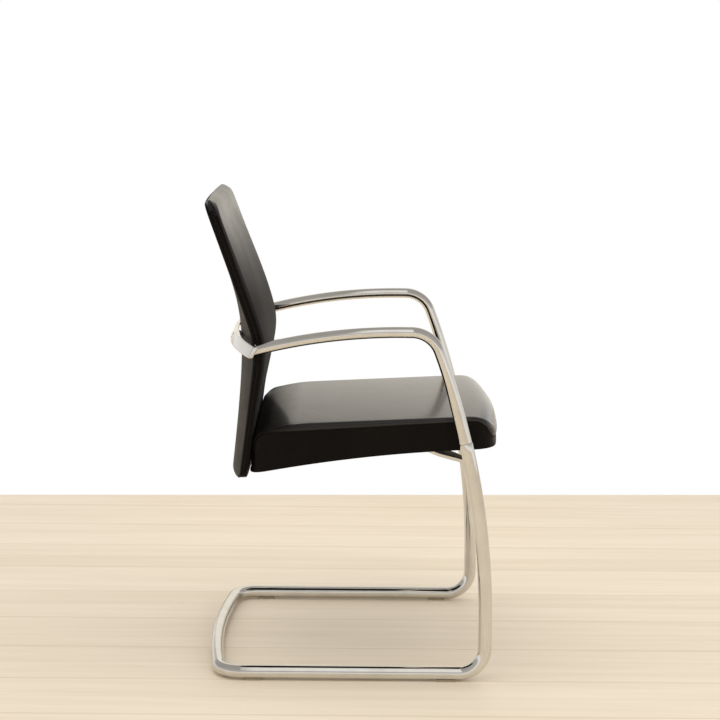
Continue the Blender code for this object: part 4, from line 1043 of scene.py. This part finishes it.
def sink_recesses(band):
    """Counterbore the band for its two screw heads."""
    for side_name, side in SIDES:
        across = side * BAND_SCREW_SPACING / 2
        floor = band_rear(across) - BAND_SCREW_RECESS
        radius = HEAD_DIAMETER / 2 + SCREW_RECESS_EASE
        bm = bmesh.new()
        rings = []
        for depth in (floor, floor + BAND_THICKNESS):
            centre = Vector((across, depth, BAND_LEVEL))
            rings.append(oval_ring(centre, UNIT_X, UNIT_Z, radius, radius, RECESS_SIDES))
        closed_rings(bm, rings)
        bmesh.ops.recalc_face_normals(bm, faces=bm.faces[:])
        cutter = scene_object("recess_" + side_name, mesh_from("recess_" + side_name, bm))
        bore = band.modifiers.new("recess", "BOOLEAN")
        bore.operation = "DIFFERENCE"
        bore.solver = "EXACT"
        bore.object = cutter
        keep_shape(band)
        bpy.data.objects.remove(cutter)
    band.data.set_sharp_from_angle(angle=math.radians(30.0))


def keep_shape(piece):
    """Apply a piece's modifiers."""
    graph = bpy.context.evaluated_depsgraph_get()
    shaped = bpy.data.meshes.new_from_object(piece.evaluated_get(graph))
    piece.modifiers.clear()
    piece.data = shaped


def make_screw(name, centre, axis, grip, stands_for):
    """A button head screw with a hexagon socket."""
    head = HEAD_DIAMETER / 2
    hexagon = SOCKET_ACROSS / 2 / math.cos(math.pi / 6)
    profile = [(SHANK_DIAMETER / 2, -grip), (SHANK_DIAMETER / 2, 0.0), (head, 0.0)]
    for angle in steps(DOME_START, DOME_END, DOME_STEPS):
        level = HEAD_HEIGHT * math.sin(angle) / math.sin(DOME_END)
        profile.append((head * math.cos(angle) ** DOME_FULLNESS, level))
    turn = axis.to_track_quat("Z", "Y").to_matrix()
    bm = bmesh.new()
    rings = []
    for radius, height in profile:
        ring = oval_ring(UNIT_Z * height, UNIT_X, UNIT_Y, radius, radius, SCREW_SIDES)
        rings.append([Vector(centre) + turn @ point for point in ring])
    socket = []
    for index in range(SCREW_SIDES):
        angle = 2 * math.pi * index / SCREW_SIDES
        folded = (angle % (math.pi / 3)) - math.pi / 6
        reach = hexagon * math.cos(math.pi / 6) / math.cos(folded)
        socket.append((reach * math.cos(angle), reach * math.sin(angle)))
    for level in (HEAD_HEIGHT, HEAD_HEIGHT - SOCKET_DEPTH):
        rings.append([Vector(centre) + turn @ Vector((x, y, level)) for x, y in socket])
    closed_rings(bm, rings)
    add_piece(name, bm, [ZINC], stands_for, 30.0)


def make_screws():
    """Seat bolts under the carrier and band screws behind the back."""
    for side_name, side in SIDES:
        for place_name, reach in (("outer", SEAT_BOLT_OUTER), ("inner", SEAT_BOLT_INNER)):
            label = place_name + "_" + side_name
            across = side * reach
            centre = (across, carrier_middle(across), CARRIER_TOP - CARRIER_THICKNESS)
            make_screw("seat_screw_" + label, centre, -UNIT_Z, SEAT_BOLT_GRIP, ["seat_bolt_" + label])
        across = side * BAND_SCREW_SPACING / 2
        centre = (across, band_rear(across) - BAND_SCREW_RECESS + SCREW_RECESS_EASE, BAND_LEVEL)
        make_screw("rear_screw_" + side_name, centre, UNIT_Y, BAND_SCREW_GRIP, ["band_screw_" + side_name])


# Upholstery

def both_ways(*shares):
    """Places across a pad: its middle and shares of its half width to each side."""
    return [-share for share in reversed(shares)] + [0.0] + list(shares)


def corner_rows(first_radius, last_radius, length, inner_count):
    """Distances along a pad: dense round its two rounded ends, even between them."""
    turns = [math.radians(angle) for angle in CORNER_TURNS]
    first = [first_radius * (1.0 - math.cos(turn)) for turn in turns]
    last = [length - last_radius * (1.0 - math.cos(turn)) for turn in reversed(turns)]
    middle = steps(first_radius, length - last_radius, inner_count)[1:-1]
    return [distance / length for distance in first + middle + last]


def border_of(columns, rows):
    """The row and column numbers of the points round a pad's border, in order."""
    border = [(0, index) for index in range(len(columns))]
    border += [(index, len(columns) - 1) for index in range(1, len(rows))]
    border += [(len(rows) - 1, index) for index in range(len(columns) - 2, -1, -1)]
    border += [(index, 0) for index in range(len(rows) - 2, 0, -1)]
    return border


def rim_of(columns, rows, ring):
    """The points of a ring round a pad's border, in order."""
    return [ring(columns[column], rows[row]) for row, column in border_of(columns, rows)]


def pad_body(columns, rows, face, skirts, base, face_bands=None):
    """A closed pad: a grid over its face, rings down its sides and a grid over its base.

    face_bands counts the bands of faces, from the face on, that have the first of two materials.
    """
    bands = len(skirts) + 2
    first_bands = face_bands or bands
    paint = [0] * first_bands + [1] * (bands - first_bands)
    bm = bmesh.new()
    border = border_of(columns, rows)
    grid = [[bm.verts.new(face(column, row)) for column in columns] for row in rows]
    for made in skin_grid(bm, grid):
        made.material_index = paint[0]
    loop = [grid[row][column] for row, column in border]
    for skirt, colour in zip(skirts, paint[1:]):
        lower = [bm.verts.new(point) for point in rim_of(columns, rows, skirt)]
        for made in bridge(bm, loop, lower):
            made.material_index = colour
        loop = lower
    edge = dict(zip(border, loop))
    floor = []
    for row_index, row in enumerate(rows):
        line = []
        for column_index, column in enumerate(columns):
            place = (row_index, column_index)
            line.append(edge[place] if place in edge else bm.verts.new(base(column, row)))
        floor.append(line)
    for made in skin_grid(bm, floor):
        made.material_index = paint[-1]
    return bm


def skin_grid(bm, grid):
    """Quads between the neighbouring points of a grid."""
    made = []
    for low_row, high_row in zip(grid, grid[1:]):
        for index in range(len(low_row) - 1):
            made.append(
                bm.faces.new((low_row[index], low_row[index + 1], high_row[index + 1], high_row[index]))
            )
    return made


def round_off(piece, levels):
    """Subdivide a piece and keep the result."""
    soft = piece.modifiers.new("round", "SUBSURF")
    soft.levels = levels
    soft.render_levels = levels
    keep_shape(piece)
    piece.data.shade_smooth()


SEAT_COLUMNS = both_ways(0.3, 0.55, 0.75, 0.88, 0.95, 0.985, 1.0)
SEAT_ROWS = corner_rows(SEAT_FRONT_CORNER, SEAT_REAR_CORNER, SEAT_DEPTH, SEAT_INNER_ROWS)


def nose_bow(column, row):
    """How far the bowed front edge of the seat lies behind its middle."""
    return SEAT_NOSE_BOW * column**2 * (1.0 - row)


def seat_plan(column, row, side_inset, front_inset, rear_inset):
    """A plan point of the seat: column -1 to 1 across, row 0 to 1 from nose to tail."""
    front = SEAT_FRONT + front_inset
    rear = SEAT_REAR - rear_inset
    depth = mix(front, rear, row)
    loss = corner_loss(depth - front, SEAT_FRONT_CORNER)
    loss = max(loss, corner_loss(rear - depth, SEAT_REAR_CORNER))
    return column * (SEAT_WIDTH / 2 - side_inset - loss), depth + nose_bow(column, row)


def seat_face(column, row):
    """The crowned top of the seat."""
    across, depth = seat_plan(column, row, SEAT_SIDE_ROLL, SEAT_NOSE_ROLL, SEAT_TAIL_ROLL)
    return Vector((across, depth, seat_top(across, depth - nose_bow(column, row))))


def seam_level(depth, row):
    """Height of the sewn seam, which drops round the front corners and falls away round the tail."""
    run = row * SEAT_DEPTH
    nose_turn = math.asin(max(0.0, 1.0 - run / SEAT_FRONT_CORNER))
    tail_turn = math.asin(max(0.0, 1.0 - (SEAT_DEPTH - run) / SEAT_REAR_CORNER))
    nose = NOSE_SEAM_DROP * smooth_step((nose_turn - SEAM_DROP_START) / SEAM_DROP_TURN)
    tail = TAIL_SEAM_DROP * (tail_turn / (math.pi / 2)) ** 2
    return seat_seam(depth) - nose - tail


def seat_roll(angle, rear_inset):
    """A ring on the rounded edge between the seam, at 0 degrees, and the top panel, at 90."""
    turn = math.radians(angle)
    away = 1.0 - math.cos(turn)

    def place(column, row):
        across, depth = seat_plan(column, row, SEAT_SIDE_ROLL * away, SEAT_NOSE_ROLL * away, rear_inset)
        low = seam_level(depth, row) + SEAM_SPREAD
        high = seat_face(column, row).z
        return Vector((across, depth, mix(low, high, math.sin(turn))))

    return place


def seam_ring(inset, rear_inset, lift):
    """A ring beside the seam."""

    def place(column, row):
        across, depth = seat_plan(column, row, inset, inset, rear_inset)
        return Vector((across, depth, seam_level(depth, row) + lift))

    return place


def boxing_ring(inset, rear_inset, share):
    """A ring on the boxing at a share of the height from the hem to the seam."""

    def place(column, row):
        across, depth = seat_plan(column, row, inset, inset, rear_inset)
        return Vector((across, depth, mix(seat_underside(depth), seam_level(depth, row), share)))

    return place


def seat_hem(inset, lift):
    """A ring round the hem under the seat."""

    def place(column, row):
        across, depth = seat_plan(
            column, row, SEAT_SIDE_UNDERCUT + inset, SEAT_NOSE_UNDERCUT + inset, SEAT_TAIL_UNDERCUT + inset
        )
        return Vector((across, depth, seat_underside(depth) + lift))

    return place


def board_edge(lift):
    """A ring just outside the edge of the seat board, with its straight front and rounder corners."""
    low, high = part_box("seat_board")
    half_width = high[0] + HEM_GAP
    front = low[1] - SEAT_NOSE_BOW - HEM_GAP
    rear = high[1] + HEM_GAP

    def place(column, row):
        depth = mix(front, rear, row)
        loss = corner_loss(depth - front, SEAT_FRONT_CORNER + BOARD_CORNER_EASE)
        loss = max(loss, corner_loss(rear - depth, SEAT_REAR_CORNER + BOARD_CORNER_EASE))
        depth += nose_bow(1.0, row)
        return Vector((column * (half_width - loss), depth, seat_underside(depth) + lift))

    return place


def make_seat():
    """The seat cushion: a top panel that falls over the nose, a seam all round and drawn-in boxing."""
    groove = seam_ring(*SEAT_SEAM_RING)
    skirts = [seat_roll(*ring) for ring in SEAT_ROLL_RINGS]
    skirts += [seam_ring(*SEAT_ABOVE_SEAM), groove, seam_ring(*SEAT_BELOW_SEAM)]
    skirts += [boxing_ring(*ring) for ring in SEAT_BOXING_RINGS]
    skirts += [seat_hem(*ring) for ring in SEAT_HEM_RINGS]
    skirts += [board_edge(lift) for lift in SEAT_BOARD_LIFTS]
    bm = pad_body(SEAT_COLUMNS, SEAT_ROWS, seat_face, skirts, skirts[-1], SEAT_TOP_BANDS)
    cushion = add_piece(
        "seat_cushion", bm, [TOP_LEATHER, SIDE_LEATHER], ["seat_cover", "seat_foam"]
    )
    round_off(cushion, CUSHION_LEVELS)
    return cushion, rim_of(SEAT_COLUMNS, SEAT_ROWS, groove)


BACK_COLUMNS = both_ways(0.2, 0.42, 0.66, 0.84, 0.94, 0.985, 1.0)
BACK_ROWS = corner_rows(BACK_FOOT_CORNER, BACK_CORNER, BACK_TOP - BACK_BOTTOM, BACK_INNER_ROWS)


def back_plan(column, row, inset, drop):
    """An elevation point of the back: column -1 to 1 across, row 0 to 1 from foot to head.

    drop lowers the head.
    """
    height = mix(BACK_BOTTOM + inset, BACK_TOP - inset, row)
    sag = BACK_FOOT_BOW * (1.0 - column**2) * (1.0 - row) ** 2
    sag += drop * smooth_step(1.0 - (BACK_TOP - height) / HEAD_REAR_REACH)
    return column * back_half_width(height, inset), height - sag


def head_roll(height):
    """How far the front of the pad rolls rearwards over the head."""
    share = min(1.0, max(0.0, 1.0 - (BACK_TOP - height) / HEAD_RADIUS))
    return HEAD_FALL * (1.0 - math.sqrt(1.0 - share**2))


def back_layer(inset, depth_at, drop=0.0):
    """One surface of the back, given the depth at each point of its outline."""

    def place(column, row):
        across, height = back_plan(column, row, inset, drop)
        return Vector((across, depth_at(across, height), height))

    return place


def pad_ring(inset, share, shift=0.0):
    """A ring round the back pad's sides at a share of the way from its front edge to the shell."""

    def depth_at(across, height):
        return mix(pad_edge(height) + head_roll(height), shell_rear(across, height), share) + shift

    past_crest = max(0.0, share - HEAD_CREST_SHARE) / (1.0 - HEAD_CREST_SHARE)
    return back_layer(inset, depth_at, HEAD_REAR_DROP * past_crest**2)


def make_back():
    """The back cushion: a front panel with a lumbar swell, a seam round its edge and a narrow side."""

    def before_shell(across, height):
        return shell_front(across, height) - PAD_BASE_EASE

    def rolled_front(across, height):
        return pad_front(across, height) + head_roll(height)

    base = back_layer(PAD_BASE_INSET, before_shell, HEAD_REAR_DROP)
    seam = pad_ring(*PAD_SEAM_RING)
    skirts = [pad_ring(*ring) for ring in PAD_FRONT_RINGS]
    skirts.append(seam)
    skirts += [pad_ring(*ring) for ring in PAD_SIDE_RINGS]
    skirts.append(base)
    front = back_layer(PAD_ROLL, rolled_front)
    bm = pad_body(BACK_COLUMNS, BACK_ROWS, front, skirts, base, BACK_FRONT_BANDS)
    bmesh.ops.recalc_face_normals(bm, faces=bm.faces[:])
    for face in bm.faces:
        if face.calc_center_median().z > BACK_TOP - HEAD_WRAP and face.normal.z > HEAD_WRAP_TILT:
            face.material_index = 0
    cushion = add_piece(
        "back_cushion", bm, [BACK_LEATHER, SIDE_LEATHER], ["back_cover", "back_foam"]
    )
    round_off(cushion, CUSHION_LEVELS)
    return cushion, rim_of(BACK_COLUMNS, BACK_ROWS, seam)


def make_rear_panel():
    """The leather panel over the rear of the shell, with turned edges."""

    def face(inset, lift):
        def depth_at(across, height):
            return shell_rear(across, height) + REAR_COVER_EASE + lift

        return back_layer(inset, depth_at, PANEL_HEAD_DROP)

    skirts = [face(*ring) for ring in PANEL_RINGS]
    outside = face(PANEL_FACE_INSET, REAR_COVER_THICKNESS)
    bm = pad_body(BACK_COLUMNS, BACK_ROWS, outside, skirts, skirts[-1])
    panel = add_piece("rear_panel", bm, [REAR_LEATHER], ["back_rear_cover"])
    round_off(panel, PANEL_LEVELS)


def make_shell():
    """The plywood shell inside the back, which ends below the rolled head."""
    ahead = back_layer(SHELL_INSET, shell_front, SHELL_HEAD_DROP)
    behind = back_layer(SHELL_INSET, shell_rear, SHELL_HEAD_DROP)
    bm = pad_body(BACK_COLUMNS, BACK_ROWS, behind, [ahead], ahead)
    add_piece("inner_shell", bm, [PLYWOOD], ["back_shell"])


def even_points(loop, pitch):
    """Points at an even pitch round a closed chain."""
    chain = loop + [loop[0]]
    total = sum((after - before).length for before, after in zip(chain, chain[1:]))
    count = max(3, round(total / pitch))
    wanted = [total * index / count for index in range(count)]
    points = []
    walked = 0.0
    position = 0
    for before, after in zip(chain, chain[1:]):
        length = (after - before).length
        while position < count and wanted[position] <= walked + length + 1e-9:
            points.append(before.lerp(after, (wanted[position] - walked) / max(length, 1e-9)))
            position += 1
        walked += length
    return points


def make_stitches(name, cushion, loop, push):
    """A row of thread stitches beside a seam, laid on the cushion's leather."""
    tree = BVHTree.FromPolygons(
        [vertex.co for vertex in cushion.data.vertices],
        [tuple(polygon.vertices) for polygon in cushion.data.polygons],
    )
    points = even_points([point + push for point in loop], STITCH_PITCH)
    bm = bmesh.new()
    for index, point in enumerate(points):
        ahead = points[(index + 1) % len(points)] - points[index - 1]
        if ahead.length < 1e-6:
            continue
        place, normal, _, _ = tree.find_nearest(point)
        along = (ahead - normal * ahead.dot(normal)).normalized()
        aside = normal.cross(along)
        centre = place + normal * (STITCH_RADIUS * STITCH_LIFT)
        rings = []
        for share, width, sink in STITCH_RINGS:
            middle = centre + along * (share * STITCH_LENGTH) - normal * (STITCH_RADIUS * sink)
            reach = STITCH_RADIUS * width
            rings.append(oval_ring(middle, aside, normal, reach, reach, STITCH_SIDES))
        closed_rings(bm, rings)
    add_piece(name, bm, [THREAD])


# Stage

def plank_tone(tree):
    """Share of light tone over pale planks that run along Y: figure, plank to plank steps and joints."""
    figure = noise(tree, object_place(tree, (1.0, 0.05, 1.0)), 34.0, 5.0, 0.6)
    from_start = math_node(tree, "SUBTRACT", axes_of(tree, object_place(tree))["X"], PLANK_START)
    tone = ranged(tree, figure, 0.3, 0.7, 0.35, 0.75)
    for width, depth in ((PLANK_WIDTH, PLANK_JOINT_DEPTH), (PLANK_WIDTH / 2, STRIP_JOINT_DEPTH)):
        count = math_node(tree, "DIVIDE", from_start, width)
        past_joint = math_node(tree, "SUBTRACT", count, math_node(tree, "ROUND", count))
        aside = math_node(tree, "MULTIPLY", math_node(tree, "ABSOLUTE", past_joint), width)
        tone = math_node(tree, "SUBTRACT", tone, ranged(tree, aside, 0.0, PLANK_JOINT, depth, 0.0))
    strip_number = math_node(tree, "FLOOR", math_node(tree, "DIVIDE", from_start, PLANK_WIDTH / 2))
    strip = add_node(tree, "TexWhiteNoise", {"W": strip_number}, noise_dimensions="1D").outputs["Value"]
    return math_node(tree, "ADD", tone, ranged(tree, strip, 0.0, 1.0, 0.0, 0.25))


def make_floor():
    """A pale plank floor."""
    material, tree, shader = new_material("pale_floor")
    colour = blended(tree, plank_tone(tree), FLOOR_DARK, FLOOR_LIGHT)
    feed(tree, shader, {"Base Color": colour, "Roughness": 0.45, "Specular IOR Level": 0.2})
    reach = FLOOR_REACH
    corners = ((-reach, -reach), (reach, -reach), (reach, reach), (-reach, reach))
    stage_plane("floor", [(x, y, 0.0) for x, y in corners], material)


def stage_plane(name, points, material):
    """A flat stage object."""
    bm = bmesh.new()
    bm.faces.new([bm.verts.new(point) for point in points])
    mesh = mesh_from(name, bm)
    mesh.materials.append(material)
    plane = scene_object(name, mesh)


def ray_kinds(tree):
    """Masks of the camera's own rays, and of those with the rays off metal and through glass."""
    path = add_node(tree, "LightPath", {}).outputs
    camera = path["Is Camera Ray"]
    seen = math_node(tree, "MAXIMUM", camera, path["Is Glossy Ray"])
    return camera, math_node(tree, "MAXIMUM", seen, path["Is Transmission Ray"])


def mix_to_output(tree, share, first, second, output):
    """Mix two shaders on the way to a tree's output."""
    shaders = {"Fac": share, 1: first.outputs[0], 2: second.outputs[0]}
    mixed = add_node(tree, "MixShader", shaders).outputs["Shader"]
    feed(tree, tree.nodes[output], {"Surface": mixed})


def make_wall():
    """A white wall beyond the chair, which can't be seen from behind and keeps no light from the floor.

    Metal and leather show the stretch of it behind the chair, which fades out to the sides and above, and
    they see its foot darkened with painted shade.
    """
    material, tree, shader = new_material("white_wall")
    tree.nodes.remove(shader)
    camera, seen = ray_kinds(tree)
    axes = axes_of(tree, object_place(tree))
    # Painted shade darkens the foot of the wall as metal and leather mirror it
    rise = ranged(tree, axes["Z"], *BACKDROP_FOOT, 0.0, 1.0)
    mirrored = blended(tree, rise, BACKDROP_FOOT_SHADE, BACKDROP_TINT)
    colour = blended(tree, camera, mirrored, WHITE)
    white = add_node(tree, "Emission", {"Color": colour, "Strength": 1.0})
    aside = ranged(tree, math_node(tree, "ABSOLUTE", axes["Y"]), *BACKDROP_HALF_WIDTH, 0.0, 1.0)
    above = ranged(tree, axes["Z"], *BACKDROP_TOP, 0.0, 1.0)
    away = math_node(tree, "MAXIMUM", aside, above)
    away = math_node(tree, "MULTIPLY", away, math_node(tree, "SUBTRACT", 1.0, camera))
    away = math_node(tree, "MAXIMUM", away, math_node(tree, "SUBTRACT", 1.0, seen))
    behind = add_node(tree, "NewGeometry", {}).outputs["Backfacing"]
    clear = add_node(tree, "BsdfTransparent", {})
    mix_to_output(tree, math_node(tree, "MAXIMUM", behind, away), white, clear, "Material Output")
    reach = FLOOR_REACH
    corners = ((-reach, 0.0), (-reach, WALL_HEIGHT), (reach, WALL_HEIGHT), (reach, 0.0))
    stage_plane("wall", [(WALL_DEPTH + WALL_TURN * y, y, z) for y, z in corners], material)


def height_ramp(tree, height, stops):
    """A colour that changes with the height of a direction."""
    node = add_node(tree, "ValToRGB", {"Fac": height})
    elements = node.color_ramp.elements
    while len(elements) < len(stops):
        elements.new(1.0)
    for element, (position, colour) in zip(elements, stops):
        element.position = position
        element.color = (*colour, 1.0)
    return node.outputs["Color"]


def make_world():
    """A soft white room, brighter behind the camera and greyer towards the ceiling."""
    world = bpy.data.worlds.new("studio")
    bpy.context.scene.world = world
    world.use_nodes = True
    tree = world.node_tree
    camera, seen = ray_kinds(tree)
    soft = tree.nodes["Background"]
    feed(tree, soft, {"Color": (*SKY_TINT, 1.0), "Strength": SKY_STRENGTH})
    axes = axes_of(tree, add_node(tree, "TexCoord", {}).outputs["Generated"])
    beyond = height_ramp(tree, axes["Z"], ROOM_BEYOND)
    behind = height_ramp(tree, axes["Z"], ROOM_BEHIND)
    room = blended(tree, ranged(tree, axes["X"], *ROOM_TURN, 0.0, 1.0), behind, beyond)
    beside = ranged(tree, math_node(tree, "ABSOLUTE", axes["Y"]), *STRIP_HALF_WIDTH, 1.0, 0.0)
    strip = math_node(tree, "MULTIPLY", beside, ranged(tree, axes["Z"], *STRIP_HEIGHT, 0.0, 1.0))
    strip = math_node(tree, "MULTIPLY", strip, ranged(tree, axes["X"], *STRIP_END, 1.0, 0.0))
    room = blended(tree, strip, room, ROOM_WHITE)
    colour = blended(tree, camera, room, WHITE)
    shown = add_node(tree, "Background", {"Color": colour, "Strength": 1.0})
    mix_to_output(tree, seen, soft, shown, "World Output")


def add_softbox(name, place, target, size, power):
    """A square soft light aimed at a point."""
    lamp = bpy.data.lights.new(name, "AREA")
    lamp.shape = "SQUARE"
    lamp.size = size
    lamp.energy = power
    lamp.color = LAMP_TINT
    light = scene_object(name, lamp)
    light.location = place
    light.visible_glossy = False
    light.rotation_euler = (Vector(target) - Vector(place)).to_track_quat("-Z", "Y").to_euler()


def make_lights():
    """One broad light overhead and a weaker one from the front, both kept out of the chrome."""
    add_softbox("ceiling_light", CEILING_PLACE, CEILING_TARGET, CEILING_SIZE, CEILING_POWER)
    add_softbox("front_light", FRONT_PLACE, FRONT_TARGET, FRONT_SIZE, FRONT_POWER)


def make_camera():
    """The camera at the photograph's place and angle."""
    data = bpy.data.cameras.new("camera")
    data.lens = CAMERA_LENS
    data.sensor_width = CAMERA_SENSOR
    data.sensor_fit = "HORIZONTAL"
    data.clip_end = CAMERA_REACH
    camera = scene_object("camera", data)
    back = -CAMERA_AHEAD.normalized()
    right = (CAMERA_RIGHT - back * CAMERA_RIGHT.dot(back)).normalized()
    up = back.cross(right)
    turn = Matrix((right, up, back)).transposed()
    camera.matrix_world = Matrix.Translation(CAMERA_PLACE) @ turn.to_4x4()
    bpy.context.scene.camera = camera


finish_solids()
make_camera()
make_world()
make_floor()
make_wall()
make_lights()
make_base_tube()
for side_name, side in SIDES:
    make_arm(side_name, side)
make_bars()
make_screws()
seat_cushion, seat_loop = make_seat()
back_cushion, back_loop = make_back()
make_rear_panel()
make_shell()
make_stitches("seat_stitches", seat_cushion, seat_loop, Vector((0.0, 0.0, STITCH_OFFSET)))
make_stitches("back_stitches", back_cushion, back_loop, Vector((0.0, STITCH_OFFSET, 0.0)))
bpy.context.scene.view_settings.view_transform = "Standard"
